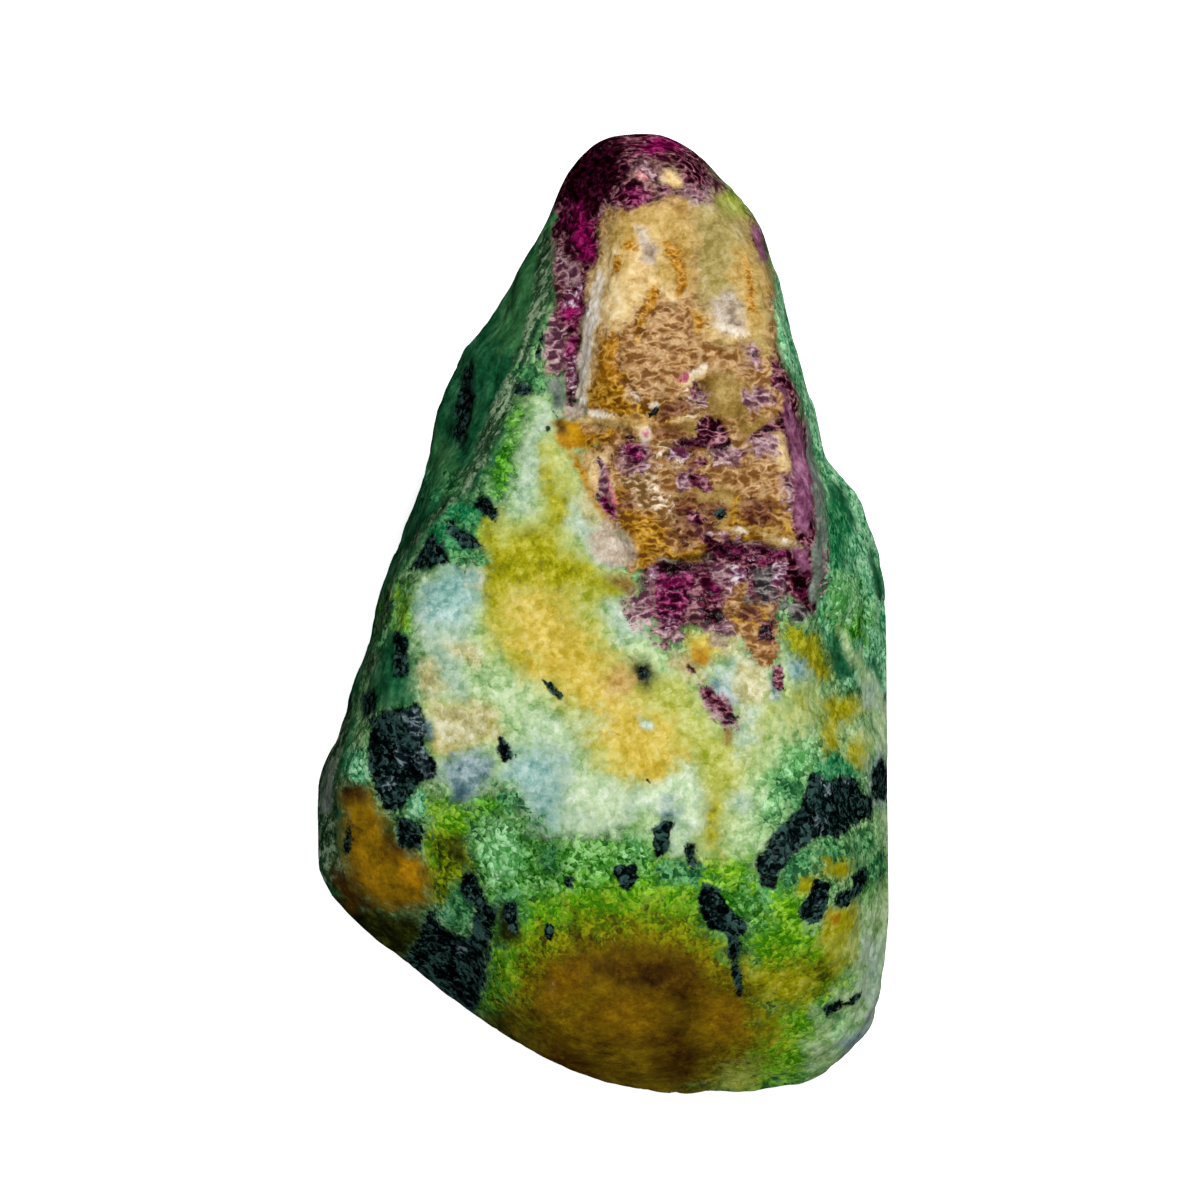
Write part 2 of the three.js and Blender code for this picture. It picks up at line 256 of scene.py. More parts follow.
            (0.6, [(-7, -12.4), (-5.4, -12.4), (-4.4, -13.6), (-5, -15.4), (-6.4, -15.6), (-7.2, -14)]),
            (0.5, [(13.4, -24), (14.6, -23.2), (15, -25), (13.6, -26.4), (12.8, -25.4)]),
            (0.4, [(14.6, -12.9), (16, -12.4), (16.2, -13.4), (15, -14.4), (14.5, -13.6)]),
            (0.5, [(9.2, -15.9), (10.2, -15.7), (10.4, -17), (9.4, -17.4)]),
            (0.5, [(6.4, -19), (7.2, -18.8), (7.2, -20.4), (6.4, -20)]),
            (0.4, [(-12, 1.6), (-11.2, 1.5), (-11, 0), (-11.3, -0.9), (-12.1, -0.7)]),
            (0.4, [(13.3, 2.2), (14.6, 2.3), (15, 0.6), (14.4, -0.6), (13.3, 0)]),
            (0.7, [(12, -24.8), (13.4, -24.6), (13.6, -25.8), (12.6, -26.8), (11.8, -26.4)]),
            (0.5, [(1.4, -12.9), (2.7, -12.9), (2.8, -14), (1.5, -14.1)]),
            (0.4, [(14.9, 0.8), (15.7, 0.6), (15.9, -0.8), (15.1, -0.6)]),
            (0.5, [(11.9, -3.9), (13, -3.8), (12.6, -5), (12, -5)]),
        ],
    },
    "lime": {  # yellowish green
        "tones": [srgb(50, 116, 0), srgb(102, 162, 0), srgb(154, 200, 60)],
        "field": "sugary", "edge": 0.7, "ragged": 4, "spread": 1.2, "rough": 0.5, "grainy": 0.7,
        "patches": [
            (0.9, [(-3.4, -16.6), (-1, -15.8), (2.4, -15.6), (5, -15.8), (5.6, -18), (7.2, -19.2),
                   (7.2, -21), (5.8, -20.4), (3, -19.8), (-1, -19.6), (-4, -20.6), (-5.2, -22.6), (-6, -20),
                   (-5.4, -18.4)]),
            (1.0, [(8.6, -19.4), (9.8, -18.2), (11.4, -17.8), (13.2, -18.6), (14.4, -19.6), (14.2, -21.6),
                   (13, -23), (11.4, -22.6), (9.6, -23.6), (8.4, -22.4), (8.2, -20.6)]),
            (0.5, [(-10.2, -10.4), (-8.8, -10.7), (-7.6, -11.6), (-8.2, -13), (-9.4, -14.6), (-10.2, -15.6),
                   (-10.4, -13.8), (-10, -12.4)]),
            (1.0, [(8.4, -24), (10, -23), (12, -23), (13, -24.4), (12.6, -26), (10.6, -27), (8.4, -27.4),
                   (7.4, -26.2)]),
            (0.4, [(-7.3, 5), (-6.6, 5.6), (-6.1, 4.4), (-6.3, 2.9), (-7.1, 2.9)]),
            (0.7, [(9.6, -16.4), (11.4, -16), (12, -17.6), (12, -20), (9.6, -19.8)]),
            (0.8, [(3.2, -13.6), (5.2, -14), (7, -13.2), (8.8, -13.8), (8.6, -15.6), (6, -15.6),
                   (3.4, -15)]),
            (0.5, [(-12, 1.3), (-11.1, 1.2), (-11, -0.6), (-12, -0.8)]),
            (0.6, [(8.6, -18.8), (10.4, -18.8), (10.4, -20.6), (8.6, -20.6)]),
            (0.5, [(12.2, -24.6), (13.2, -24.8), (13, -26), (12, -26)]),
        ],
    },
    "olive": {  # brownish yellow-green
        "tones": [srgb(34, 48, 0), srgb(92, 114, 0), srgb(146, 164, 8)],
        "field": "sugary", "edge": 0.8, "ragged": 4, "spread": 1.3, "rough": 0.55, "grainy": 0.6,
        "patches": [
            (0.7, [(6.3, 24.6), (7.6, 24.5), (8.7, 23), (8.3, 21.6), (7, 21.6), (6.2, 22.6)]),
            (1.2, [(-5.2, -19.4), (-3, -17.7), (1, -17.2), (5, -17.6), (7.2, -19.8), (9.2, -20.4),
                   (9.8, -23), (9.4, -25.4), (7.8, -27.4), (3, -28.4), (-2, -28), (-5, -26), (-6.4, -23.8),
                   (-5.4, -21.4)]),
            (0.9, [(8.2, -20.6), (10, -20.2), (12, -20), (13.2, -19.2), (13.8, -20.4), (13.2, -21.8),
                   (11.4, -22.6), (9.6, -22.8), (8.4, -22.4)]),
            (0.4, [(11, -0.6), (12.2, -1.2), (12.9, -2.2), (13.3, -3.6), (12.4, -4), (11.8, -2.8),
                   (10.8, -2), (10.4, -1.2)]),
            (0.6, [(-10.2, -12.6), (-8.4, -12.8), (-7.8, -14.4), (-8.2, -16), (-9.4, -17), (-10.2, -16.4),
                   (-10, -14.4)]),
        ],
    },
    "mint": {  # pale green zoisite of the broad face, with a painted highlight along the right ridge
        "tones": [srgb(94, 140, 70), srgb(160, 189, 130), srgb(204, 222, 178)],
        "field": "milky", "edge": 1, "ragged": 4, "spread": 1.2, "rough": 0.55, "grainy": 0.3,
        "patches": [
            (0.9, [(-4.2, 12.9), (-3.2, 12.9), (-2.4, 11.9), (-1.9, 11), (-1.4, 9.4), (-0.8, 8.4), (0, 7),
                   (0.6, 5.6), (1.2, 4.4), (1.6, 3.4), (0.6, 2.6), (1, 1.8), (1.8, 0.6), (2.8, -0.6),
                   (3.6, -1.4), (5, -2.6), (6.4, -2.9), (8, -2.4), (9.4, -2.8), (10.6, -2), (11.6, -3.2),
                   (12.6, -4.4), (12.4, -6.6), (11, -7.6), (9.6, -9.2), (9, -11.2), (9, -13), (8.4, -14.2),
                   (7.4, -13.9), (6.2, -13.7), (5.4, -14.2), (3.4, -13.4), (2, -12.7), (0.4, -12.6),
                   (-1, -12.7), (-2.4, -12.8), (-4, -12.2), (-4.8, -10.8), (-6.2, -9.9), (-7.6, -10.2),
                   (-8.6, -10.6), (-10.2, -9.2), (-9.8, -8), (-10.1, -6.4), (-10.6, -4.2), (-10.7, -2),
                   (-10.7, 0.4), (-10.7, 1.4), (-10, 2.2), (-8.8, 2.8), (-7.2, 3.1), (-6.4, 5), (-5.6, 6.2),
                   (-4.9, 7.4), (-4.7, 9.4), (-4.4, 11.2)]),
            (1.0, [(14.2, -6.4), (15.6, -6.6), (16.6, -7), (20, -9), (20, -28), (12, -28), (13.2, -25),
                   (14.4, -23.6), (14.6, -20), (15, -17.6), (16.2, -15.4), (16.2, -12), (16, -9),
                   (15, -8)]),
            (0.5, [(12.6, -23.6), (13.6, -23.4), (13.2, -24.6), (12.2, -24.6)]),
            (0.35, [(9.1, -12.3), (9.7, -12.4), (9.6, -13.5), (9.1, -13.6)]),
            # painted highlight along the right ridge
            (0.3, [(13.6, -0.7), (14.4, -1.5), (15.3, -2.8), (16.2, -4.6), (16.6, -6.6), (16.6, -8.2),
                   (15.9, -7.2), (15.5, -5.4), (14.8, -3.4), (14, -2)]),
            (0.4, [(12.2, -22.9), (13.2, -23.2), (13.4, -24), (12.4, -24)]),
            (0.6, [(11.8, -24.8), (13.4, -24.6), (13.6, -25.8), (12.2, -26.8)]),
            (0.5, [(13.4, -21.8), (14.8, -21.8), (14.8, -23.2), (13.4, -23.2)]),
        ],
    },
    "lemon": {  # yellow tint in the pale zone
        "tones": [srgb(132, 142, 10), srgb(173, 177, 78), srgb(202, 206, 134)],
        "field": "milky", "edge": 1, "ragged": 4, "spread": 1.3, "rough": 0.55, "grainy": 0.28,
        "patches": [
            (0.9, [(-3.6, 10.6), (-2.9, 10.8), (-2.2, 9.4), (-1.4, 8), (-0.8, 7.2), (-1.6, 6.4),
                   (-2.2, 5.4), (-1.6, 4.2), (-0.6, 3.2), (0.6, 2.3), (0.8, 1.4), (0, 0.4), (0.4, -1.2),
                   (1.4, -2.6), (3, -3.4), (4.6, -3.4), (5.8, -5.4), (7, -6.6), (9.6, -4.4), (10.4, -5.4),
                   (9.6, -7.4), (8.4, -9), (7.6, -10.4), (7, -12.6), (6.8, -13.9), (5.9, -13.9),
                   (5.7, -12.4), (5.6, -10.6), (5.2, -9), (4.2, -8.4), (3.6, -9.6), (1, -9.4), (-0.6, -8.6),
                   (-2, -6.2), (-3.6, -4.4), (-5.2, -3), (-6.6, -1.8), (-6.9, 0), (-6.7, 2.2), (-6.5, 3.6),
                   (-6.4, 5), (-6, 5.5), (-4.8, 5.2), (-3.9, 5.6), (-3.7, 7), (-3.4, 8.4), (-3.7, 9.6)]),
            (0.5, [(-10.3, -5.3), (-8, -5), (-6.3, -5.5), (-6.2, -7), (-7.6, -7.6), (-9.6, -8.1),
                   (-10.3, -6.8)]),
            (0.4, [(13.2, -17.1), (14.7, -17.1), (14.7, -18.3), (13.6, -19.3), (12.5, -19.1), (12.8, -18)]),
            (0.5, [(14.6, -7), (15.4, -7.4), (15, -8.8), (14.2, -8.4)]),
            (0.8, [(10.6, -4.2), (12.2, -4.4), (12, -6), (10.8, -6.6)]),
        ],
    },
    "ochre": {  # mustard stain
        "tones": [srgb(112, 112, 0), srgb(156, 152, 0), srgb(194, 190, 70)],
        "field": "milky", "edge": 0.9, "ragged": 4.5, "spread": 1.4, "rough": 0.55, "grainy": 0.28,
        "patches": [
            (0.6, [(-7, 5.4), (-6.3, 5.6), (-5.8, 4.4), (-4.6, 5), (-3, 4.9), (-2.2, 3.6), (-1, 2.8),
                   (0.4, 2.3), (1.3, 1.8), (1.4, 0.9), (0, 1.2), (-1.4, 1.5), (-2.4, 1), (-4, 1.1),
                   (-5.2, 1.5), (-5.6, 0.6), (-5.4, -0.6), (-6.2, -0.6), (-6.9, 0.4), (-7, 2), (-7, 3.6)]),
            (0.4, [(-3.6, 8.6), (-3, 8.4), (-2.7, 7.4), (-2.2, 6.2), (-2.2, 5.2), (-3, 5), (-3.6, 7.4)]),
            (0.3, [(-4, 9.9), (-3.2, 9.9), (-3, 9.3), (-3.8, 9.2)]),
            (0.5, [(-6.4, 0.4), (-5.5, -0.6), (-4.5, -1.6), (-3.6, -3.2), (-4.8, -2.8), (-6, -1.8)]),
            (0.4, [(-9.8, -7), (-8.8, -6.9), (-8.4, -7.7), (-9.4, -8.1)]),
            (0.4, [(-7.4, -5.9), (-6.3, -5.8), (-6.2, -6.9), (-7.2, -7)]),
            (0.5, [(5.6, -10.6), (6.6, -11), (6.6, -13.6), (5.8, -13)]),
            (0.4, [(12.7, -5.1), (13.4, -4.8), (15, -4.9), (15.3, -5.6), (14.4, -6), (13.9, -6.3),
                   (13.7, -7.6), (13, -8), (12.6, -7.2), (12.8, -6)]),
            (0.4, [(10.8, -0.8), (12, -1.4), (12.7, -2.4), (13.2, -3.6), (12.4, -3.8), (11.8, -2.8),
                   (11, -1.8)]),
            (0.35, [(14.4, -7.4), (15.1, -7.8), (15, -8.8), (14.3, -8.4)]),
            (0.8, [(8.4, -20.8), (10, -20.6), (12, -20.8), (12.6, -21.6), (11, -22.4), (9.2, -22.2)]),
            (0.6, [(12.9, -18.6), (14.4, -18.2), (14.3, -20.2), (13.4, -21), (12.8, -20)]),
            (0.35, [(12.8, -13.7), (14.1, -13.5), (14.6, -15), (13.8, -15.6), (12.8, -14.6)]),
            (0.4, [(13, -17), (14.7, -17), (14.7, -18.2), (13.6, -19.1), (12.5, -19.1), (12.7, -18)]),
            (0.3, [(11.3, -15.4), (12.6, -15.2), (12.4, -16.1), (11.4, -16.4)]),
            (0.5, [(-3, 7), (-2, 6.9), (-1.8, 5.4), (-2.8, 5.2)]),
            (0.7, [(-6.2, 0.8), (-4.9, 0.6), (-4.8, -0.8), (-6, -1)]),
            (0.9, [(9, -23.4), (10.2, -23.4), (10.4, -24.6), (9, -24.8)]),
        ],
    },
    "gold": {  # warm golden orange
        "tones": [srgb(172, 146, 20), srgb(202, 177, 70), srgb(224, 204, 118)],
        "field": "milky", "edge": 1, "ragged": 4.5, "spread": 1.3, "rough": 0.55, "grainy": 0.25,
        "patches": [
            (1.0, [(-5.4, 1), (-3.8, 1.4), (-2.4, 0.6), (-1.6, -0.8), (-0.6, -2), (0.8, -3.2), (1.6, -4.6),
                   (3, -6.2), (4.2, -7.6), (4.6, -9.2), (3.4, -10.2), (1.8, -9.6), (0.6, -9), (-0.4, -7.6),
                   (-0.8, -5.8), (-2.4, -4.6), (-3.8, -3.6), (-4.8, -2.2), (-5.8, -0.6)]),
            (0.6, [(0.2, -6.2), (2.2, -6.6), (3.8, -7.8), (4.4, -9.4), (2.8, -10), (1, -8.8), (0.1, -7.4)]),
            (0.5, [(4.9, -1.3), (5.8, -1), (6.8, -1.4), (7.2, -2), (6.4, -2.7), (5.7, -3), (5.1, -2.4)]),
            (0.8, [(2, -5.8), (4, -6), (4.5, -8.4), (3.6, -9.2), (2.4, -8.2)]),
            (0.5, [(-7.6, -5.8), (-6.4, -5.9), (-6.3, -7), (-7.4, -7.1)]),
            (0.4, [(-9.8, -6.8), (-8.8, -6.9), (-8.8, -7.8), (-9.8, -7.8)]),
        ],
    },
    "white": {  # milky, slightly blue, with a painted highlight on the right ridge
        "tones": [srgb(124, 158, 128), srgb(170, 193, 165), srgb(206, 218, 200)],
        "field": "milky", "edge": 0.9, "ragged": 4.5, "spread": 1.3, "rough": 0.5, "grainy": 0.25,
        "patches": [
            (0.5, [(-10.3, 1.7), (-8.6, 2.8), (-7.2, 2.4), (-7.3, 1.2), (-7.4, -0.6), (-7.9, -1.6),
                   (-8.2, -2.4), (-8, -3.8), (-8, -5), (-9.4, -4.6), (-10, -3), (-10.5, -1.8), (-10.7, 0),
                   (-10.6, 1.2)]),
            (0.4, [(-8.6, -5.7), (-7.4, -6.6), (-8.2, -7.4), (-9, -6.8)]),
            (0.6, [(-3.4, 12), (-3.1, 12), (-2.8, 11.8), (-3.3, 10.6), (-3.9, 9.2), (-3.9, 7.8),
                   (-4.1, 6.2), (-5, 6), (-4.7, 7.6), (-4.5, 9.4), (-4.1, 11.2)]),
            (0.5, [(-1.5, 6.6), (-0.4, 6.8), (0.3, 5.8), (0.9, 4.4), (1.5, 3.3), (0.5, 2.8), (-0.5, 3.3),
                   (-1.4, 4.6), (-2, 5.4)]),
            (1.0, [(-3.4, -6), (-2.2, -6.8), (-1.6, -8.6), (-2.2, -10.6), (-2.6, -12.4), (-3.8, -12),
                   (-4.6, -10.8), (-5.4, -9.4), (-5, -8.2), (-4.2, -7.4)]),
            (0.7, [(-2.4, -11.2), (0, -10.6), (2.2, -10), (3.4, -10.4), (4.2, -9.6), (4.6, -8.7), (5.3, -9),
                   (5.6, -10.4), (5.5, -12), (5, -12.4), (4.2, -11.8), (3.4, -11.6), (2.4, -11.4),
                   (1.2, -11.8), (0.4, -12.4), (-1.8, -12.5)]),
            (0.35, [(4.1, -12.4), (4.9, -12.6), (5.1, -13.2), (4.8, -14.2), (4, -14.1), (3.8, -13.2)]),
            (0.5, [(6.4, -2.9), (7.8, -2.3), (9, -3), (9.4, -4), (8.6, -4.6), (8.4, -5.4), (7.4, -5.2),
                   (6.6, -4.2)]),
            (0.6, [(0.2, 0.6), (1.4, 0.7), (2.2, -0.4), (2.4, -1.2), (1, -1.6)]),
            (0.5, [(7.4, -10.6), (8.4, -10.5), (8.5, -11.3), (7.3, -11.4)]),
            (0.25, [(2, -6), (2.8, -6.2), (3.1, -6.8), (2.2, -6.6)]),
            (0.8, [(7.8, -5.4), (9.2, -5), (9, -7.4), (8.2, -8.2), (7.6, -7)]),
            (0.5, [(15.2, -19), (16.2, -19), (16.4, -23.5), (15.2, -25)]),
            # painted highlight on the right ridge
            (0.4, [(15, -4), (15.9, -4), (16, -5.4), (15.2, -5.4)]),
        ],
    },
    "snow": {  # the palest places
        "tones": [srgb(154, 186, 140), srgb(194, 214, 170), srgb(226, 236, 214)],
        "field": "milky", "edge": 0.9, "ragged": 4, "spread": 1.2, "rough": 0.5, "grainy": 0.25,
        "patches": [
            (0.7, [(-1.6, -9.4), (0.4, -9.6), (1.6, -10.4), (1, -11.8), (-0.8, -12.2), (-1.8, -11)]),
            (0.5, [(3.3, -9.8), (4.2, -9.2), (5.2, -9.2), (5.6, -10.6), (5.4, -12), (4.6, -12), (4, -11.2),
                   (2, -10.9), (2, -10.3)]),
            (0.3, [(4, -12.6), (4.8, -12.7), (5, -14), (4.2, -13.9)]),
            (0.4, [(-3.4, -6.3), (-2.2, -6.6), (-2, -7.6), (-3, -7.6)]),
            (0.6, [(-4.6, -5.6), (-3.8, -5.8), (-3.6, -6.4), (-4.4, -6.5)]),
            (1.2, [(-1.5, -5.6), (-0.5, -5.8), (-0.5, -6.5), (-1.5, -6.5)]),
        ],
    },
    "beige": {  # faint warm clouds in the pale zone
        "tones": [srgb(142, 136, 80), srgb(188, 182, 128), srgb(220, 216, 186)],
        "field": "milky", "edge": 0.9, "ragged": 5, "spread": 1.3, "rough": 0.55, "grainy": 0.4,
        "patches": [
            (0.5, [(-9.2, -1.7), (-7.6, -1.6), (-7.2, -2.8), (-8.4, -2.9)]),
            (0.4, [(-10.6, -2.6), (-9.7, -2.8), (-9.2, -4.6), (-10, -5.2), (-10.6, -4)]),
            (0.5, [(-10.1, -5.3), (-8, -5), (-6.3, -5.5), (-6.1, -7), (-7.4, -7.6), (-9.4, -7.9),
                   (-10, -6.8)]),
            (0.4, [(-8, 2.6), (-7, 2.4), (-7.1, 1.4), (-7.8, 1.6)]),
            (0.5, [(4.4, -2.2), (5.4, -2.8), (5.8, -3.8), (4.8, -4), (4, -3)]),
            (0.5, [(7.8, -2.6), (9.4, -2.8), (9.4, -4.8), (8.2, -5.6), (7.4, -4.4)]),
            (0.4, [(6.8, -1.2), (8, -1.2), (8, -2.2), (6.8, -2)]),
            (0.4, [(-1.5, 7.6), (-0.8, 8.1), (-0.3, 6.6), (0.3, 5.5), (-0.3, 5), (-1.2, 5.8)]),
        ],
    },
    "slate": {  # lilac and blue-grey
        "tones": [srgb(66, 100, 104), srgb(136, 160, 160), srgb(182, 196, 200)],
        "field": "milky", "edge": 0.8, "ragged": 4, "spread": 1.4, "rough": 0.5, "grainy": 0.3,
        "patches": [
            (0.5, [(-9, -8.3), (-7.6, -8), (-6.4, -8.2), (-6.4, -9.4), (-7.4, -10.5), (-8.4, -10.5),
                   (-9.7, -9.4), (-9.4, -8.6)]),
            (0.35, [(6, -3.5), (6.9, -3.5), (7.8, -5.2), (7, -5), (6.2, -4.3)]),
            (0.3, [(9.7, -3.2), (10, -3), (10.3, -4.9), (9.8, -4.9)]),
            (0.4, [(10.9, -2.5), (11.8, -2.8), (11.8, -3.7), (10.9, -3.6)]),
            (0.35, [(0, 3.9), (0.8, 4), (1.6, 3.3), (1, 2.8), (0, 3)]),
            (0.5, [(3.4, -11.2), (4, -10.6), (4.4, -11.4), (4, -12), (3.4, -12)]),
            (0.6, [(15.6, -8.4), (16.3, -8), (16.6, -10), (16.2, -11.2), (15.6, -10.6)]),
            (0.6, [(13.9, -25.2), (15.4, -23.6), (16, -25), (14.4, -27)]),
        ],
    },
    "ice": {  # bluish milky places
        "tones": [srgb(92, 142, 132), srgb(142, 180, 168), srgb(184, 208, 200)],
        "field": "milky", "edge": 0.9, "ragged": 4, "spread": 1.3, "rough": 0.5, "grainy": 0.25,
        "patches": [
            (0.5, [(-10.5, 1.4), (-9.6, 2.2), (-8.4, 2.8), (-7.5, 2.4), (-7.6, 0.8), (-8.4, -0.6),
                   (-10, -0.8), (-10.7, 0)]),
            (0.8, [(-5.6, -8.2), (-4, -7.8), (-2.6, -8.4), (-2.4, -10.4), (-2.8, -12.2), (-3.8, -11.8),
                   (-4.6, -10.6), (-5.6, -9.4)]),
            (0.3, [(10.9, -2.9), (11.7, -3), (11.7, -3.7), (11, -3.7)]),
        ],
    },
    "pine": {  # clear green among the pale and dark minerals
        "tones": [srgb(12, 72, 34), srgb(50, 112, 62), srgb(104, 168, 104)],
        "field": "sugary", "edge": 0.6, "ragged": 4, "spread": 1.2, "rough": 0.5, "grainy": 0.7,
        "patches": [
            (0.4, [(10.2, -14.3), (11.4, -13.6), (12.4, -13.4), (12.2, -14.4), (11.4, -15.6),
                   (10.4, -15.8)]),
            (0.6, [(12, -13.3), (14.4, -13.1), (16, -12.6), (16, -13.6), (14.4, -14.3), (12.4, -14.3)]),
            (0.8, [(10.2, -9.6), (11.4, -9.4), (11.6, -11.2), (10.4, -11.8)]),
            (0.4, [(-9, -15.8), (-8, -15.6), (-7.6, -17), (-7.9, -18.4), (-8.8, -18.4)]),
            (0.7, [(-6.2, -10), (-5, -10.1), (-4.4, -11), (-5, -11.5), (-6, -11.2)]),
            (0.6, [(-4.4, -11.6), (-3.4, -11.6), (-3.4, -12.5), (-4.4, -12.5)]),
            (0.5, [(-3.8, -13.4), (-2.7, -13.3), (-2.5, -14.8), (-3.4, -15)]),
            (0.5, [(4, -14.4), (5.6, -14.6), (5.6, -15.8), (4.2, -15.6)]),
            (0.4, [(-6.4, -16.2), (-5, -16.2), (-4.6, -17.6), (-5.6, -18.8), (-6.4, -18)]),
            (0.5, [(-9.6, 3.7), (-8.2, 3.8), (-6.7, 3.5), (-6.6, 2.7), (-7.6, 2.8), (-9, 2.9)]),
            (0.5, [(-4.8, 14.3), (-3.4, 14.3), (-3.2, 13.1), (-4.4, 13)]),
            (0.5, [(-9.4, 5.4), (-8, 5.6), (-7.2, 5.2), (-7.8, 4.6), (-9, 4.6)]),
            (0.3, [(-13.3, -0.9), (-12.6, -0.8), (-12.6, -2.2), (-13.2, -2.4)]),
            (0.4, [(3, -14.4), (4, -14.4), (4.2, -15.6), (3.2, -15.6)]),
            (0.3, [(14.8, -14.8), (15.8, -14), (16.6, -13.4), (16.6, -15.2), (15.4, -15.9)]),
            (0.4, [(-9.3, 8.4), (-8.3, 8.2), (-8.2, 7), (-9.2, 7)]),
        ],
    },
    "steel": {  # dark blue-grey clouds
        "tones": [srgb(22, 50, 56), srgb(66, 98, 104), srgb(120, 148, 156)],
        "field": "cloudy", "edge": 0.8, "ragged": 4, "spread": 1.3, "rough": 0.5, "grainy": 0.4,
        "patches": [
            (0.35, [(-9, -9.6), (-8.2, -9.5), (-7.7, -10), (-8, -10.8), (-8.8, -11)]),
            (0.3, [(-10.6, -6.2), (-10, -6), (-9.8, -7.4), (-10.4, -7.6)]),
        ],
    },
    "rust": {  # dark orange-brown
        "tones": [srgb(88, 62, 0), srgb(130, 98, 0), srgb(166, 124, 4)],
        "field": "cloudy", "edge": 0.8, "ragged": 3, "spread": 1.2, "rough": 0.6, "grainy": 0.2,
        "patches": [
            (0.7, [(-15.2, -10.4), (-13.6, -10.4), (-12.7, -11.6), (-12.3, -13), (-11.4, -13.7),
                   (-10.4, -14), (-10, -15.2), (-10.2, -16.6), (-11.4, -17.3), (-13, -17.4), (-14.4, -16.4),
                   (-15.2, -14.4), (-15.1, -12.2)]),
        ],
    },
    "mossAndShadow": {  # dark brownish green, and painted shadow along the lower rim
        "tones": [srgb(12, 16, 0), srgb(32, 37, 2), srgb(68, 74, 14)],
        "field": "cloudy", "edge": 0.9, "ragged": 3, "spread": 1.3, "rough": 0.6, "grainy": 0.3,
        "patches": [
            (0.6, [(-15.2, -16.2), (-13.8, -16.8), (-12, -17.4), (-10.6, -17.1), (-10.4, -18.4),
                   (-10.8, -19.4), (-12, -21), (-14, -19.6), (-16, -17.6)]),
            (0.3, [(-12.8, -12), (-12.2, -12.2), (-12, -13.2), (-12.6, -13)]),
            # painted shadow along the lower rim
            (0.8, [(-7, -23), (-5.4, -23), (-3.6, -24.7), (-1.6, -26.1), (1, -27.1), (3, -27.6), (2, -29),
                   (-4, -28), (-8, -25)]),
            (0.5, [(1.5, -2.7), (2.6, -2.6), (3.1, -3.5), (2.4, -4.3), (1.5, -3.8)]),
            (0.4, [(-6.3, -17), (-5, -17), (-4.8, -19), (-6.2, -19.2)]),
            (0.5, [(-9.2, -13), (-8.2, -13), (-7.9, -14), (-8.6, -14.6), (-9.2, -14)]),
        ],
    },
    "amber": {  # bright orange stain
        "tones": [srgb(134, 88, 0), srgb(172, 122, 0), srgb(204, 156, 24)],
        "field": "milky", "edge": 0.6, "ragged": 4, "spread": 1.3, "rough": 0.55, "grainy": 0.3,
        "patches": [
            (0.25, [(-1.9, 9.3), (-1.4, 9.4), (-0.9, 8.2), (-0.4, 7.2), (0.2, 6.2), (1.2, 5), (1.5, 4.4),
                    (1.1, 4.4), (0.2, 5.4), (-0.6, 6.6), (-1.2, 7.8)]),
            (0.3, [(-13.6, -14.4), (-13, -14.6), (-13, -16), (-13.6, -15.8)]),
            (0.4, [(-11.6, -14.4), (-10.8, -14.6), (-10.8, -15.8), (-11.6, -15.6)]),
            (0.25, [(13.2, -17.3), (14, -17.3), (13.8, -18), (13.3, -18.1)]),
            (0.3, [(8.9, -1.9), (9.8, -1.8), (9.8, -2.7), (9.2, -2.8)]),
            (0.3, [(5.2, -2), (6, -2), (6.1, -2.8), (5.4, -2.8)]),
            (0.35, [(-2.9, 11.2), (-1.4, 11.4), (-0.3, 11), (-0.2, 10.1), (-1, 9.5), (-2, 9.6),
                    (-2.8, 10.2)]),
        ],
    },
    "brown": {  # iron stain at the broad end
        "tones": [srgb(70, 50, 0), srgb(108, 84, 0), srgb(140, 114, 4)],
        "field": "cloudy", "edge": 1, "ragged": 3, "spread": 1.3, "rough": 0.6, "grainy": 0.4,
        "patches": [
            (1.5, [(-4, -20.4), (-2.4, -19), (0, -18.4), (3.4, -18.4), (5.6, -19.2), (7, -20.8), (8.6, -22),
                   (8.8, -24.6), (7.4, -26.6), (4, -28.4), (0.6, -28.2), (-2.6, -27), (-4.4, -25),
                   (-5, -23)]),
        ],
    },
    "umberAndShadow": {  # its darkest part, and painted shadow along the lower rim
        "tones": [srgb(38, 16, 0), srgb(70, 44, 0), srgb(104, 78, 0)],
        "field": "cloudy", "edge": 1, "ragged": 3, "spread": 1.2, "rough": 0.6, "grainy": 0.4,
        "patches": [
            (0.9, [(-0.8, -20), (1.4, -19.6), (3.2, -19.6), (5.2, -20.2), (5.8, -21.4), (5, -23),
                   (3.8, -22.6), (2.6, -22), (0.6, -21.2), (-0.6, -20.8)]),
            (0.8, [(3.2, -23.8), (4.6, -23.6), (5.6, -25.4), (5.2, -27), (3.6, -27.2), (3, -25.6)]),
            (0.7, [(1.8, -21.8), (3, -22), (2.6, -22.8), (1.6, -22.6)]),
            (0.3, [(-2.9, 11.1), (-2.3, 11.4), (-2, 11), (-2.3, 10.5), (-2.7, 10.6)]),
            # these two: painted shadow along the lower rim
            (0.7, [(-3.4, -24.9), (-3, -25.3), (-1, -26.4), (1.4, -27.2), (3, -27.8), (2, -29), (-4, -28)]),
            (0.5, [(-3.6, -24.4), (-2, -25.2), (0.4, -26.8), (-3, -27)]),
            (0.35, [(-15.4, -9.9), (-13.8, -10), (-13.9, -10.9), (-15.2, -11)]),
            (0.35, [(-12.6, -13), (-11, -13.4), (-10.8, -14), (-12.2, -14)]),
            (0.5, [(-15.8, -15), (-14.6, -15.2), (-13.6, -17), (-15, -17.6)]),
        ],
    },
    "bronze": {  # lighter clouds in the iron stain
        "tones": [srgb(84, 54, 0), srgb(130, 94, 0), srgb(164, 126, 8)],
        "field": "cloudy", "edge": 1, "ragged": 3, "spread": 1.3, "rough": 0.6, "grainy": 0.4,
        "patches": [
            (0.9, [(0, -22), (3, -22.6), (3.4, -24.4), (1, -24.8), (-1, -23.6)]),
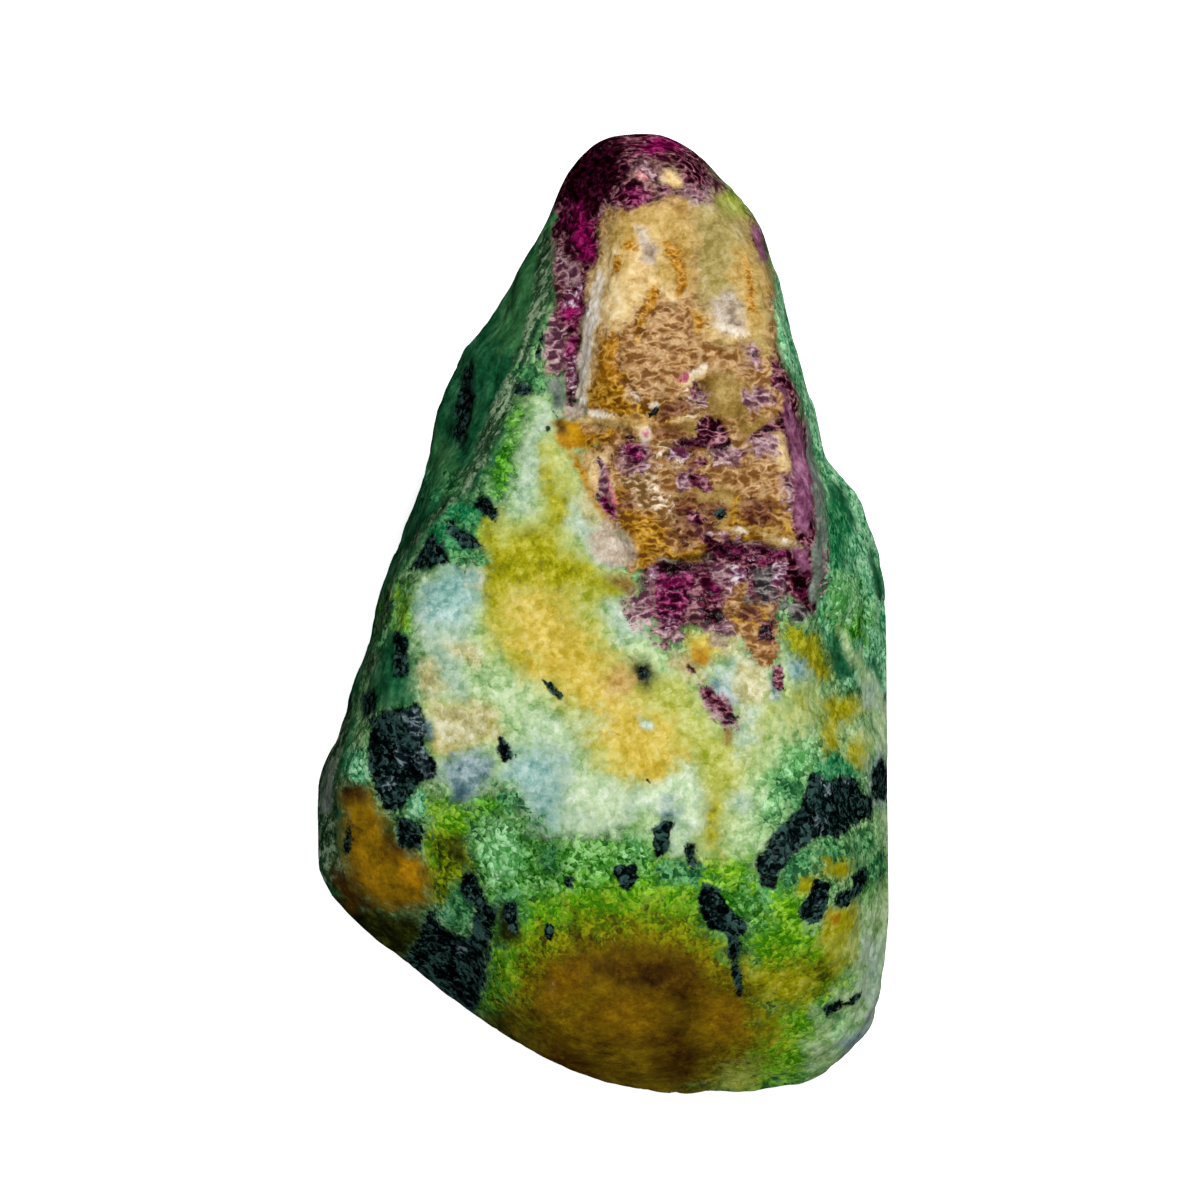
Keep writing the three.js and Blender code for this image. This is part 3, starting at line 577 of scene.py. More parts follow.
            (0.7, [(-3, -20.6), (-1, -20), (-1.4, -22), (-3.4, -22.4)]),
            (0.8, [(5.6, -22), (7.6, -22.6), (8.4, -24.4), (6.4, -24.6)]),
        ],
    },
    "rubyRoot": {  # ruby under the stains
        "tones": [srgb(56, 20, 30), srgb(104, 64, 66), srgb(160, 124, 112)],
        "field": "scaly", "edge": 0.5, "ragged": 3, "spread": 1, "rough": 0.4, "grainy": 0.8,
        "patches": [
            (0.4, [(-2.8, 26), (-1.5, 29), (3, 29.4), (5.6, 28.6), (6.4, 26), (7.6, 24), (8.8, 22.8),
                   (9.5, 20.4), (9.9, 18.4), (10.1, 15.6), (11.2, 13.2), (12.2, 9.4), (12.6, 6),
                   (12.7, 2.4), (12.1, 0.4), (10.8, 1.4), (10.2, 0.6), (10, -1.6), (9, -1.8), (8, -1),
                   (6.6, -0.9), (4.9, -0.6), (3.8, -0.8), (2.8, 0.4), (2.2, 1.6), (2.2, 3), (3, 5), (3, 8),
                   (1, 9.4), (-0.2, 10), (-0.8, 12), (-1.5, 12.4), (-2.1, 13), (-2.3, 14), (-2.4, 15),
                   (-2.6, 16), (-3, 17), (-2.8, 18), (-2.9, 19), (-2.9, 22)]),
        ],
    },
    "tan": {  # stained faces of the ruby
        "tones": [srgb(118, 75, 28), srgb(167, 123, 74), srgb(206, 170, 124)],
        "field": "scaly", "edge": 0.5, "ragged": 3, "spread": 1, "rough": 0.55, "grainy": 0.8,
        "patches": [
            (0.35, [(0.2, 23.4), (1.2, 23.8), (2.6, 23.9), (3.6, 24.2), (5, 23.9), (5.8, 23.6), (7, 23.8),
                    (8.4, 23.2), (9, 22), (9.4, 20.2), (9.8, 18.2), (10, 16.6), (10.1, 15), (9.9, 13.6),
                    (10.7, 12.8), (10.5, 11.9), (9.6, 11.1), (8.2, 10.5), (6.8, 11), (5.4, 11), (3.6, 10.6),
                    (2.2, 10.6), (0.9, 10.6), (-0.4, 10.2), (-1.2, 10.9), (-0.9, 12), (-0.9, 13), (-1, 15),
                    (-1.2, 17), (-1, 18.6), (-0.7, 20.2), (-0.3, 21.4), (-0.3, 22.6)]),
            (0.35, [(-0.6, 9.9), (1, 10.6), (3, 10.6), (6, 11), (10, 11), (10.9, 9.8), (11, 7.8), (10.9, 6),
                    (11.3, 4.6), (11.9, 3.8), (8.2, 4.1), (6.6, 3.8), (4.8, 3.2), (2.4, 2.7), (1.6, 2.2),
                    (1.2, 3), (1.5, 4.2), (0.7, 5.2), (0, 6.2), (-0.5, 7.2), (-0.9, 8.4), (-1, 9.4)]),
            (0.5, [(7, 1), (7.2, 1.8), (6.4, 2.8), (7.6, 3), (8.4, 2.2), (8.8, 1), (10, 0.6), (10, -1.4),
                   (8.8, -1.9), (7.6, -1.2), (7, -0.2)]),
            (0.4, [(8.4, -0.6), (10.2, -0.4), (10.4, -2), (9.8, -3), (8.8, -2.8), (8, -1.6)]),
        ],
    },
    "straw": {  # greyish yellow side of the upper face
        "tones": [srgb(128, 114, 48), srgb(168, 150, 88), srgb(198, 184, 134)],
        "field": "milky", "edge": 1, "ragged": 4, "spread": 1.2, "rough": 0.55, "grainy": 0.25,
        "patches": [
            (0.7, [(5, 24), (6.8, 24.2), (8.4, 22.8), (9.2, 20.6), (9.6, 17.6), (9.5, 15.4), (8.2, 15.8),
                   (6.6, 16), (5.6, 17.6), (5.4, 20)]),
        ],
    },
    "honey": {  # golden stain on the upper face
        "tones": [srgb(144, 106, 28), srgb(185, 152, 80), srgb(212, 182, 122)],
        "field": "milky", "edge": 1, "ragged": 4, "spread": 1.2, "rough": 0.55, "grainy": 0.25,
        "patches": [
            (0.6, [(0.4, 23.2), (2.6, 23.8), (5, 23.8), (5.3, 21.4), (5.2, 19), (4.4, 18.4), (3, 19),
                   (1.6, 18), (0.4, 19), (-0.2, 20.4), (0, 22)]),
            (0.4, [(7.7, 21.4), (8.7, 21.4), (9.2, 19), (9.4, 16), (8.6, 15.8), (8.1, 17.6), (7.3, 19.6)]),
            (0.4, [(8.2, 15.6), (9.2, 15.6), (9.3, 14.8), (8.4, 14.6)]),
            (0.5, [(7, 6.4), (8.2, 6.2), (8.4, 5.2), (11.6, 3.9), (7.6, 4.8), (6.4, 5.2)]),
            (0.4, [(-1, 11.8), (0, 11.7), (0.9, 11.5), (2, 11.4), (2.5, 11.8), (2.6, 11.1), (1.6, 10.8),
                   (0.2, 10.8), (-0.8, 11)]),
            (0.5, [(0, -3.4), (1.2, -3), (1.9, -3.6), (1.6, -4.6), (0.4, -5), (-0.2, -4.2)]),
            (0.5, [(8.9, 20.4), (9.6, 20.2), (9.8, 18.6), (9.1, 18.6)]),
        ],
    },
    "khaki": {  # olive brown stain on the ruby
        "tones": [srgb(102, 76, 14), srgb(146, 116, 54), srgb(184, 158, 98)],
        "field": "cloudy", "edge": 0.8, "ragged": 3.5, "spread": 1.2, "rough": 0.6, "grainy": 0.4,
        "patches": [
            (0.5, [(5.9, 14.1), (7.6, 14), (8.9, 12.9), (8.4, 11.4), (7, 11.1), (6, 11.8), (5.7, 12.9)]),
            (0.5, [(4.2, 7.1), (5.4, 7.3), (7, 7.5), (8.2, 6.9), (7.8, 5.6), (6.2, 5.1), (4.6, 5.3),
                   (3.6, 6.1)]),
            (0.3, [(3.3, 10.8), (4.6, 11), (5.8, 11.4), (5.7, 10.5), (4.3, 10.2)]),
            (0.4, [(7.4, 10.9), (9.4, 11.6), (9.8, 10.9), (8.6, 10.3)]),
            (0.25, [(7, -6.5), (7.5, -6.6), (7.4, -7.6), (7, -7.7)]),
            (0.4, [(0.3, 2.2), (1.2, 2.3), (2, 1.8), (1.7, 1.2), (1, 1.6)]),
            (0.7, [(4.5, -2.6), (5.5, -2.6), (5.5, -3.4), (4.5, -3.4)]),
        ],
    },
    "cream": {  # pale crusts on the stained faces
        "tones": [srgb(178, 140, 78), srgb(220, 190, 130), srgb(242, 220, 178)],
        "field": "milky", "edge": 0.7, "ragged": 4, "spread": 1.3, "rough": 0.55, "grainy": 0.3,
        "patches": [
            (0.3, [(-1.4, 12.4), (-1.5, 14), (-1.35, 16), (-1.1, 17.4), (-0.8, 19), (-0.2, 20.8),
                   (0.5, 20.4), (0.1, 18.2), (-0.1, 16.6), (-0.4, 15), (-0.6, 13.6), (-0.8, 12.4)]),
            (0.3, [(-1.2, 9.4), (-0.5, 9.3), (0, 8), (0.1, 6.6), (-0.3, 6.6), (-0.8, 7.6)]),
            (0.2, [(0, 11.75), (0.9, 11.7), (0.8, 11.4), (0.1, 11.4)]),
            (0.2, [(1.8, 22.6), (2.4, 22.8), (3, 21.4), (2.8, 20), (2.2, 20.6)]),
            (0.6, [(0.2, 19.6), (1.4, 20), (2.2, 21.4), (3, 22.2), (3.5, 21.4), (3, 20), (3.6, 19.2),
                   (4.6, 18.6), (4, 18.1), (2.8, 18.5), (1.6, 17.8), (0.6, 17.2), (0.2, 18.4)]),
            (0.4, [(5.4, 17), (6.6, 17.8), (7.6, 18), (8.4, 17), (8.7, 16.2), (7.8, 15.9), (6, 15.9)]),
            (0.5, [(-0.5, 19.2), (0.8, 19.4), (1.8, 18.8), (1.5, 17.2), (0.4, 16.4), (-0.5, 17.2)]),
            (0.18, [(4.2, 13.5), (4.9, 14.1), (6, 14.6), (6.1, 14), (5.4, 13.5), (4.3, 13.2)]),
            (0.2, [(2.5, 12.4), (3.1, 12.5), (3.2, 12), (2.7, 11.9)]),
            (0.2, [(4, 11.1), (5.1, 11.8), (5.6, 11.9), (5, 11.3), (4.3, 10.9)]),
            (0.2, [(7.3, 5), (8.4, 4.7), (9.6, 4.5), (10.6, 4.4), (11.4, 4.1), (11.7, 3.75), (10.4, 4),
                   (9.2, 4.2), (8, 4.4)]),
            (0.2, [(1.7, 10.7), (2.6, 10.8), (2.9, 10.2), (2.3, 10)]),
            (0.4, [(9.3, 10.2), (10.3, 10.6), (10.8, 9.6), (10.6, 8.4), (9.8, 9.2)]),
            (0.3, [(3.5, 25.9), (4.2, 25.9), (4.6, 25), (4.1, 24.6), (3.5, 25.2)]),
            (0.3, [(-0.4, 21.4), (0.8, 21.6), (1.2, 20.4), (0.6, 19), (-0.3, 19)]),
            (0.3, [(3.1, 3.25), (4.6, 3.1), (6, 3.3), (5.6, 3.1), (4.4, 2.9), (3.2, 3)]),
            (0.4, [(6.2, 9.6), (7.4, 9.8), (7.6, 9.2), (6.6, 8.8)]),
            (0.25, [(1.8, 10.9), (2.7, 11), (2.9, 10.4), (2.2, 10.1)]),
            (0.2, [(-0.8, 9.4), (-0.3, 9.5), (0.3, 8.9), (-0.3, 8.7)]),
            (0.2, [(0.3, 8), (0.8, 7.8), (1, 6.4), (0.5, 6.4)]),
            (0.2, [(-1.6, 11.5), (-0.8, 11.6), (-0.3, 11.2), (-1.2, 11)]),
        ],
    },
    "lace": {  # pale mesh over the stained faces
        "tones": [srgb(112, 80, 40), srgb(182, 148, 106), srgb(238, 222, 198)],
        "field": "scaly", "edge": 0.5, "ragged": 4.5, "spread": 1.2, "rough": 0.5, "grainy": 0.8,
        "patches": [
            (0.4, [(1.2, 8), (2.4, 8.6), (3.2, 8.2), (3.4, 7.2), (4.4, 6.2), (4.2, 5.7), (3, 5.9),
                   (1.6, 6.4)]),
            (0.35, [(3, 10.3), (4.4, 10.2), (4.8, 9), (4.6, 8.2), (3.2, 8.8)]),
            (0.3, [(1, 12.8), (2, 13), (2.2, 12.4), (1.2, 12.2)]),
            (0.35, [(5, 13.1), (6.2, 11.9), (5, 11.4), (4, 11.6), (4.4, 12.2)]),
        ],
    },
    "umberVein": {  # brown seams in the stained faces
        "tones": [srgb(98, 56, 0), srgb(156, 108, 4), srgb(204, 158, 66)],
        "field": "scaly", "edge": 0.6, "ragged": 3.5, "spread": 1.3, "rough": 0.6, "grainy": 0.5,
        "patches": [
            (0.25, [(3.5, 22), (4.4, 21.1), (4.7, 19.6), (4.5, 18.4), (4.2, 19.8), (3.7, 21)]),
            (0.25, [(2.5, 18.6), (3.2, 19.3), (3, 18.2), (2.5, 17), (2, 15.9), (2, 17.2)]),
            (0.2, [(0.5, 20.7), (1, 20.6), (0.9, 19.9), (0.5, 20)]),
            (0.3, [(-0.5, 14), (0.5, 14.6), (1.5, 13.8), (1.2, 12.8), (1.8, 12), (0.6, 11.7), (-0.9, 12)]),
            (0.3, [(5.4, 17.6), (6, 17), (5.6, 16.4), (5.2, 16.8)]),
            (0.3, [(0, 10.9), (0.9, 10.8), (0.5, 10.1), (-0.6, 9.7), (-1, 9.9), (-0.4, 10.4)]),
            (0.3, [(0.6, 7.4), (1.6, 7.2), (1.6, 6.4), (1.2, 5.6), (2.2, 4.8), (3, 4.2), (3, 3.6),
                   (1.8, 4.2), (1, 5.2), (0.6, 6.4)]),
            (0.35, [(7.7, 6.5), (8.8, 6.4), (10, 6.2), (9.8, 5.2), (8.6, 4.9), (7.8, 5.3)]),
            (0.3, [(1.8, 2.4), (3.6, 2.9), (5.4, 3.2), (6.6, 3.7), (5.4, 3.9), (3.4, 3.6), (2, 3.1)]),
            (0.3, [(7.2, 0.2), (8.4, 0.6), (9.4, 0.3), (9.9, -0.4), (9, -0.7), (7.8, -0.6)]),
            (0.25, [(3, 12.2), (4.4, 12.4), (5.2, 12.1), (5, 11.7), (3.6, 11.2), (2.9, 11.4)]),
            (0.4, [(1, 6.4), (2.4, 5.9), (3.4, 5), (3.2, 3.6), (2, 2.9), (1.4, 4)]),
            (0.3, [(7.4, 6.9), (8, 7), (7.9, 5.4), (8.6, 4.8), (10.6, 4.6), (10.4, 5.6), (11.2, 4.6),
                   (9, 4.4), (7.2, 5.2)]),
            (0.3, [(1, 12.5), (2.6, 12.4), (3, 11.9), (2.4, 11.4), (0.8, 11.6)]),
            (0.3, [(2.8, 10.8), (4, 10.9), (4.6, 10.4), (3, 10.1)]),
            (0.5, [(1.4, 5.4), (3.2, 5.8), (3.8, 5), (3.9, 3.8), (3, 3.3), (1.9, 3.8)]),
            (0.2, [(7.2, 4.9), (9.4, 4.6), (9.2, 4.15), (7.6, 4.3)]),
        ],
    },
    "sienna": {  # dark red-brown crust
        "tones": [srgb(70, 28, 12), srgb(118, 72, 42), srgb(156, 112, 80)],
        "field": "scaly", "edge": 0.6, "ragged": 3.5, "spread": 1.2, "rough": 0.5, "grainy": 0.8,
        "patches": [
            (0.35, [(7.8, 6.4), (8.7, 6.7), (9.8, 6.4), (10, 5.4), (9, 4.9), (8, 5.3)]),
            (0.3, [(2.8, 11.9), (4, 12.4), (5, 12.5), (5.4, 12), (4.4, 11.5), (3.2, 11.2)]),
            (0.35, [(5.6, 6.6), (6.8, 6.6), (7.2, 5.8), (6.6, 5.3), (5.8, 5.7)]),
            (0.3, [(7.4, 0.4), (8.4, 0.6), (9.4, 0.2), (9, -0.6), (8, -0.4)]),
            (0.3, [(1.2, 7.3), (1.7, 7.1), (1.6, 6.2), (1.1, 6)]),
            (0.3, [(4.4, 9.6), (5.4, 9.8), (5.8, 8.8), (4.8, 8.4)]),
            (0.35, [(2.7, 10.9), (4.4, 11), (4.6, 10.3), (3, 10.1)]),
            (0.5, [(4.3, 6.8), (5.8, 6.6), (6.5, 5.2), (6, 4.2), (4.4, 3.9), (4.1, 5.4)]),
        ],
    },
    "apricot": {  # orange seams of the upper face
        "tones": [srgb(132, 82, 0), srgb(178, 120, 18), srgb(214, 168, 84)],
        "field": "scaly", "edge": 0.7, "ragged": 4, "spread": 1.3, "rough": 0.55, "grainy": 0.4,
        "patches": [
            (0.15, [(3.6, 21.9), (4.2, 21.2), (4.75, 20), (4.8, 18.8), (4.4, 18.5), (4.3, 19.8),
                    (3.8, 20.9)]),
            (0.15, [(0.4, 20.8), (1, 20.7), (1, 20), (0.5, 19.9)]),
            (0.25, [(1.2, 21.6), (2, 21.8), (2, 21), (1.2, 21)]),
            (0.25, [(5.4, 17.6), (5.9, 17.2), (5.6, 16.4), (5.2, 16.8)]),
            (0.25, [(-0.3, 16.8), (0.2, 15.8), (0.5, 16.4), (0.9, 15.2), (0.5, 14.4), (1, 13.8),
                    (0.2, 13.2), (-0.4, 13.6), (-0.5, 14.4), (-0.2, 15.2)]),
            (0.15, [(2.6, 18.9), (3.2, 19.3), (3, 18.2), (2.6, 17.3), (2.2, 16.6), (2.3, 17.8)]),
            (0.25, [(8.2, 20.6), (8.6, 20.4), (8.9, 17.6), (8.5, 17.4)]),
        ],
    },
    "putty": {  # pale grey-pink crust beside the ruby
        "tones": [srgb(130, 108, 88), srgb(176, 158, 136), srgb(210, 198, 180)],
        "field": "milky", "edge": 0.6, "ragged": 3.5, "spread": 1.2, "rough": 0.5, "grainy": 0.35,
        "patches": [
            (0.5, [(-0.9, 4.6), (0, 5.4), (0.6, 5.2), (1.6, 4.2), (1.8, 3.2), (1.2, 2.7), (0.2, 2.9),
                   (-0.6, 3.4)]),
            (0.3, [(-3.4, 14.8), (-2.9, 15), (-2.8, 14.2), (-3.3, 14)]),
            (0.35, [(6.1, 10.1), (7.4, 10), (7.5, 9.4), (6.2, 9.3)]),
            (0.6, [(6.2, 18.2), (7.4, 18.6), (8.1, 17.8), (8.3, 16.4), (7.2, 16.2), (6.4, 17)]),
            (0.4, [(1.9, 22.6), (2.6, 22.3), (3.3, 21), (3.2, 20.1), (2.4, 20.6)]),
            (0.5, [(4.9, 24.7), (6, 24.7), (6.3, 23.8), (5, 23.6)]),
            (0.3, [(-2.2, 12.2), (-1.2, 12.3), (-0.8, 11.6), (-1.6, 11.3), (-2.3, 11.6)]),
            (0.4, [(6.3, -1.1), (7, -1.2), (7, -1.9), (6.3, -1.9)]),
        ],
    },
    "chalkAndHighlight": {  # pale crust of the upper face, with painted highlights on its bright edges
        "tones": [srgb(196, 174, 142), srgb(232, 218, 196), srgb(250, 244, 234)],
        "field": "milky", "edge": 0.7, "ragged": 4, "spread": 1.2, "rough": 0.55, "grainy": 0.4,
        "patches": [
            (0.2, [(-1.55, 12.1), (-1.55, 14), (-1.35, 16), (-1, 17.6), (-0.6, 19), (-0.2, 20.2), (0, 19.6),
                   (-0.2, 18.2), (-0.45, 16.6), (-0.7, 14.8), (-0.9, 13.2), (-0.95, 12.1)]),
            (0.18, [(4.5, 13.9), (5.2, 14.4), (6.1, 14.6), (6.1, 14.2), (5.2, 13.8)]),
            (0.2, [(6, 16.9), (7, 17), (8.5, 16.5), (8.6, 16.1), (7.4, 16.3)]),
            (0.12, [(9.8, 4.5), (10.6, 4.4), (11.5, 3.95), (10.8, 4.05)]),
            (0.12, [(7.4, 5), (8.1, 4.9), (8.5, 4.65), (7.8, 4.65)]),
            (0.2, [(2, 10.8), (2.7, 10.9), (2.9, 10.3), (2.3, 10)]),
            (0.15, [(-0.9, 11.9), (0.2, 11.85), (0.9, 11.6), (0, 11.5), (-0.9, 11.6)]),
            (0.12, [(2.5, 12.2), (3, 12.5), (3.2, 12.2), (2.7, 11.8)]),
            (0.15, [(3.2, 3.2), (4.6, 3.15), (4.4, 2.95), (3.3, 2.95)]),
        ],
    },
    "rose": {  # pink splinters at the edge of the ruby
        "tones": [srgb(140, 44, 72), srgb(196, 110, 120), srgb(238, 190, 184)],
        "field": "milky", "edge": 0.6, "ragged": 4, "spread": 1.2, "rough": 0.4, "grainy": 0.5,
        "patches": [
            (0.12, [(4.2, 13.5), (4.6, 14.3), (4.9, 14.2), (4.8, 13.5)]),
            (0.12, [(2.1, 10.7), (2.6, 10.8), (2.8, 10.4), (2.2, 10.3)]),
            (0.12, [(-0.2, 8.9), (0.2, 8.6), (0.6, 7.5), (0.3, 7.3), (-0.1, 8.1)]),
            (0.12, [(0.2, 7), (0.6, 6.6), (0.95, 5.5), (0.6, 5.6)]),
            (0.15, [(9, 3.9), (9.8, 3.8), (9.6, 3.3), (9, 3.4)]),
            (0.2, [(1.9, 26), (2.8, 26), (2.9, 25.2), (2, 25.2)]),
            (0.15, [(0.3, 7.6), (0.6, 7.4), (0.9, 6.2), (0.6, 6.2)]),
        ],
    },
    "granite": {  # dark grey grains in the lower ruby
        "tones": [srgb(40, 36, 38), srgb(98, 88, 88), srgb(150, 148, 144)],
        "field": "scaly", "edge": 0.5, "ragged": 4, "spread": 1.2, "rough": 0.4, "grainy": 0.9,
        "patches": [
            (0.5, [(8.4, 1), (8.3, 2.2), (8.8, 3), (9.8, 3.2), (10.4, 2.4), (10.4, 1), (9.4, 0.8)]),
            (0.4, [(10.4, 1), (11.4, 0.8), (12.3, 1), (12.2, -0.2), (11.4, -0.6), (10.4, 0)]),
            (0.4, [(5.2, 1.6), (6.4, 1.9), (6.2, 0.8), (5.4, 0.6)]),
        ],
    },
    "lilac": {  # pinkish edges of the ruby
        "tones": [srgb(80, 40, 58), srgb(144, 104, 112), srgb(202, 172, 172)],
        "field": "scaly", "edge": 0.6, "ragged": 4, "spread": 1.2, "rough": 0.45, "grainy": 0.7,
        "patches": [
            (0.25, [(-0.6, 9.2), (0, 9), (0.3, 8), (0.4, 6.6), (0.8, 5.7), (0.5, 5.5), (0, 6.4),
                    (-0.3, 7.2), (-0.2, 8)]),
            (0.35, [(-2.7, 21.4), (-1.6, 20.7), (-1.2, 19.8), (-1.3, 18.9), (-2.2, 19.2), (-2.8, 20.2)]),
            (0.35, [(-3.2, 17.4), (-2.5, 17.8), (-2.2, 16.4), (-2.2, 14.6), (-2.6, 13.7), (-3.2, 14.2),
                    (-3.4, 15.6)]),
            (0.35, [(0.9, 8.9), (2.2, 8.7), (2.9, 8.8), (2.6, 8.1), (1.4, 7.9)]),
            (0.5, [(2, 1.2), (2.8, 2), (2.9, 0.6), (3.3, -0.4), (4, -1.1), (4.9, -1.3), (4.2, -2.2),
                   (3.3, -1.6), (2.2, -0.2), (1.4, 0.8)]),
            (0.4, [(6.2, 3.4), (7.4, 3.1), (8, 2.2), (7.2, 1.4), (6.4, 2.2)]),
            (0.25, [(6, -0.5), (7.3, -0.5), (7.7, -1.1), (6.8, -1.3), (6, -1)]),
            (0.35, [(8, 13.1), (9.2, 13.1), (9.9, 12.4), (9, 11.9), (8, 12.3)]),
            (0.3, [(10.5, 8), (11.2, 8.4), (11.2, 6.2), (10.5, 5.8)]),
            (0.2, [(5.2, 5.1), (6.6, 4.7), (8.4, 4.3), (10.6, 3.6), (8.8, 3.6), (6.8, 4.3), (5.2, 4.7)]),
            (0.25, [(1.6, 26), (2.2, 26.3), (3.4, 25.8), (3, 25.3)]),
            (0.35, [(5, 25.1), (6.2, 25.3), (6.4, 24.2), (5.4, 23.8), (4.8, 24.3)]),
            (0.3, [(5.2, 13.1), (6.2, 12.8), (5.9, 12.2), (5.1, 12.4)]),
            (0.3, [(8, 16), (9, 15.4), (9.2, 14.4), (8.4, 14.4)]),
            (0.35, [(12.5, 4.8), (13, 4), (13, 1.6), (12.6, 1.2), (12.3, 3)]),
            (0.4, [(6.3, 9.7), (7.6, 9.9), (8.4, 9.6), (7.8, 8.9), (6.6, 8.6)]),
            (0.35, [(8.6, 10.2), (9.8, 10.5), (10.4, 9.8), (9.8, 9.2), (8.8, 9.4)]),
            (0.25, [(4.4, 8.2), (5.2, 8.4), (5, 7.4), (4.4, 7.2)]),
            (0.3, [(5.5, -4.1), (6.4, -4.1), (7.9, -5.8), (8, -6.6), (7, -6.6), (5.9, -5.6)]),
            (0.3, [(0.9, 9.9), (2.6, 9.9), (2.8, 9), (1.6, 8.8), (1, 9.2)]),
            (0.4, [(1.1, 1), (2.2, 0.8), (2.7, -0.4), (1.9, -0.6), (1.2, 0.2)]),
        ],
    },
    "ruby": {  # the open ruby itself
        "tones": [srgb(28, 0, 10), srgb(98, 34, 56), srgb(176, 126, 134)],
        "field": "scaly", "edge": 0.5, "ragged": 3, "spread": 1, "rough": 0.3, "grainy": 1,
        "patches": [
            (0.35, [(-3.4, 25.6), (-1.5, 29), (3, 29.4), (5.6, 28.6), (5.1, 26.8), (4.2, 26.5), (3.2, 26.6),
                    (1.8, 26.3), (1.3, 25.6), (1, 24.6), (0, 23.6), (-0.4, 22.4), (-0.3, 21.4),
                    (-0.5, 20.6), (-0.9, 19.8), (-1.15, 18.2), (-1.4, 17.2), (-1.6, 16), (-1.7, 14.5),
                    (-1.75, 13), (-1.85, 12.1), (-2.1, 12.6), (-2.2, 14), (-2, 15.6), (-2.3, 17),
                    (-2.9, 17.6), (-2.4, 18.5), (-1.3, 19.2), (-1, 20.2), (-1.6, 20.6), (-2.4, 21.2),
                    (-2.8, 22.2), (-2.8, 23.5)]),
            (0.3, [(4.2, 27.4), (5.4, 27.4), (5.6, 26.2), (6.4, 25.4), (5.6, 25.1), (4.9, 25.7),
                   (4.3, 26.5)]),
            (0.3, [(1, 24), (1.3, 25), (2, 25.2), (2.9, 24.7), (2.8, 23.9), (1.6, 23.6)]),
            (0.2, [(3.3, 24.8), (3.8, 24.8), (3.8, 24.2), (3.3, 24.3)]),
            (0.25, [(8.6, 22.6), (9.1, 22.4), (9.6, 20.9), (9.3, 20.6), (8.8, 21.4)]),
            (0.3, [(9.8, 15), (10.5, 14.6), (10.9, 13.2), (11.5, 11.5), (12.1, 9.2), (12.3, 7), (12.4, 5),
                   (12.1, 2.8), (11.3, 4.4), (11, 6), (11.2, 7.8), (10.8, 9), (10.8, 10.2), (9.8, 10.9),
                   (10.6, 11.6), (10.9, 12.6), (10.4, 13.2), (9.6, 13.3), (9.9, 14.1)]),
            (0.3, [(4, 10.1), (5.2, 10.3), (5.5, 11.3), (6.1, 11.6), (6.9, 11.4), (7.1, 10.5), (7.5, 9.9),
                   (6.6, 9.5), (5.4, 9.7), (4.2, 9.6)]),
            (0.2, [(4.9, 8), (5.4, 8.3), (6.2, 7.9), (6.3, 7.2), (5.6, 7), (5, 7.4)]),
            (0.2, [(8.4, 10.5), (9.2, 10.9), (10, 11.2), (10.4, 11), (9.6, 10.5), (8.8, 10.2)]),
            (0.15, [(5.2, 9), (6, 9.1), (6.4, 8.7), (5.6, 8.6)]),
            (0.15, [(3.4, 9.3), (4.2, 9.3), (4.2, 8.9), (3.5, 8.9)]),
            (0.25, [(1, 9.9), (2, 10), (2.6, 9.4), (2.6, 8.6), (2, 8.6), (1.2, 9.1)]),
            (0.35, [(0.2, 24.7), (1.6, 25.1), (3, 24.7), (2.8, 24), (1.4, 23.6), (0.2, 23.7)]),
            (0.35, [(4.9, 26.3), (5.9, 26.1), (6.1, 24.9), (5.3, 24.7), (4.8, 25.4)]),
            (0.3, [(4.5, 6.1), (5.4, 6.2), (6, 5.6), (5.6, 5.2), (4.9, 5.3)]),
            (0.3, [(5.3, 4.8), (6.2, 4.6), (6.8, 4.3), (8.4, 4), (9.4, 3.9), (11.9, 3.6), (12.4, 2.4),
                   (12.3, 0.2), (12, 0), (11.4, 0.8), (10.9, 1.4), (10.4, 2.3), (9.8, 2.8), (9, 2.8),
                   (8.2, 2.2), (7.4, 2.9), (6.6, 2.8), (6.1, 3.4)]),
            (0.4, [(2.9, 2.7), (3.4, 2.95), (4.6, 2.9), (6, 3), (6, 2.2), (7, 1.6), (6.9, 0.6), (7, -0.4),
                   (6.2, -0.5), (5.3, 0.3), (4.8, -0.2), (4.4, -0.9), (3.8, -1), (3.1, -0.1), (2.9, 1),
                   (3, 1.8)]),
            (0.25, [(9, -0.4), (9.9, -0.4), (10.1, -1.6), (9.2, -1.6)]),
            (0.25, [(8.6, 2), (8.9, 1.8), (8.8, 1), (8.4, 1.2)]),
            (0.2, [(3.2, -1.5), (3.7, -1.6), (3.9, -2), (3.4, -2.1)]),
            (0.25, [(5.6, -4.3), (6.3, -4.3), (6.9, -5), (7.6, -5.7), (7.8, -6.3), (7.1, -6.3), (6.6, -5.7),
                    (6, -5.2), (5.6, -4.7)]),
            (0.2, [(9.9, -2.9), (10.4, -2.8), (10.5, -3.8), (10.7, -4.4), (10.1, -4.4), (9.8, -3.6)]),
            (0.2, [(4.9, -3), (5.2, -3), (5.5, -3.5), (5.1, -3.4)]),
            (0.2, [(5.15, 13.7), (5.5, 13.6), (5.5, 12.5), (5.2, 12.6)]),
            (0.2, [(8.6, 15.4), (9, 15.3), (9.2, 14.9), (8.6, 14.8)]),
            (0.25, [(-0.4, 7), (0.3, 7), (0.9, 5.9), (0.6, 5.6), (0.1, 6.2)]),
        ],
    },
    "crimson": {  # where the ruby glows
        "tones": [srgb(40, 0, 20), srgb(110, 10, 66), srgb(176, 88, 128)],
        "field": "scaly", "edge": 0.6, "ragged": 4, "spread": 1.2, "rough": 0.28, "grainy": 0.8,
        "patches": [
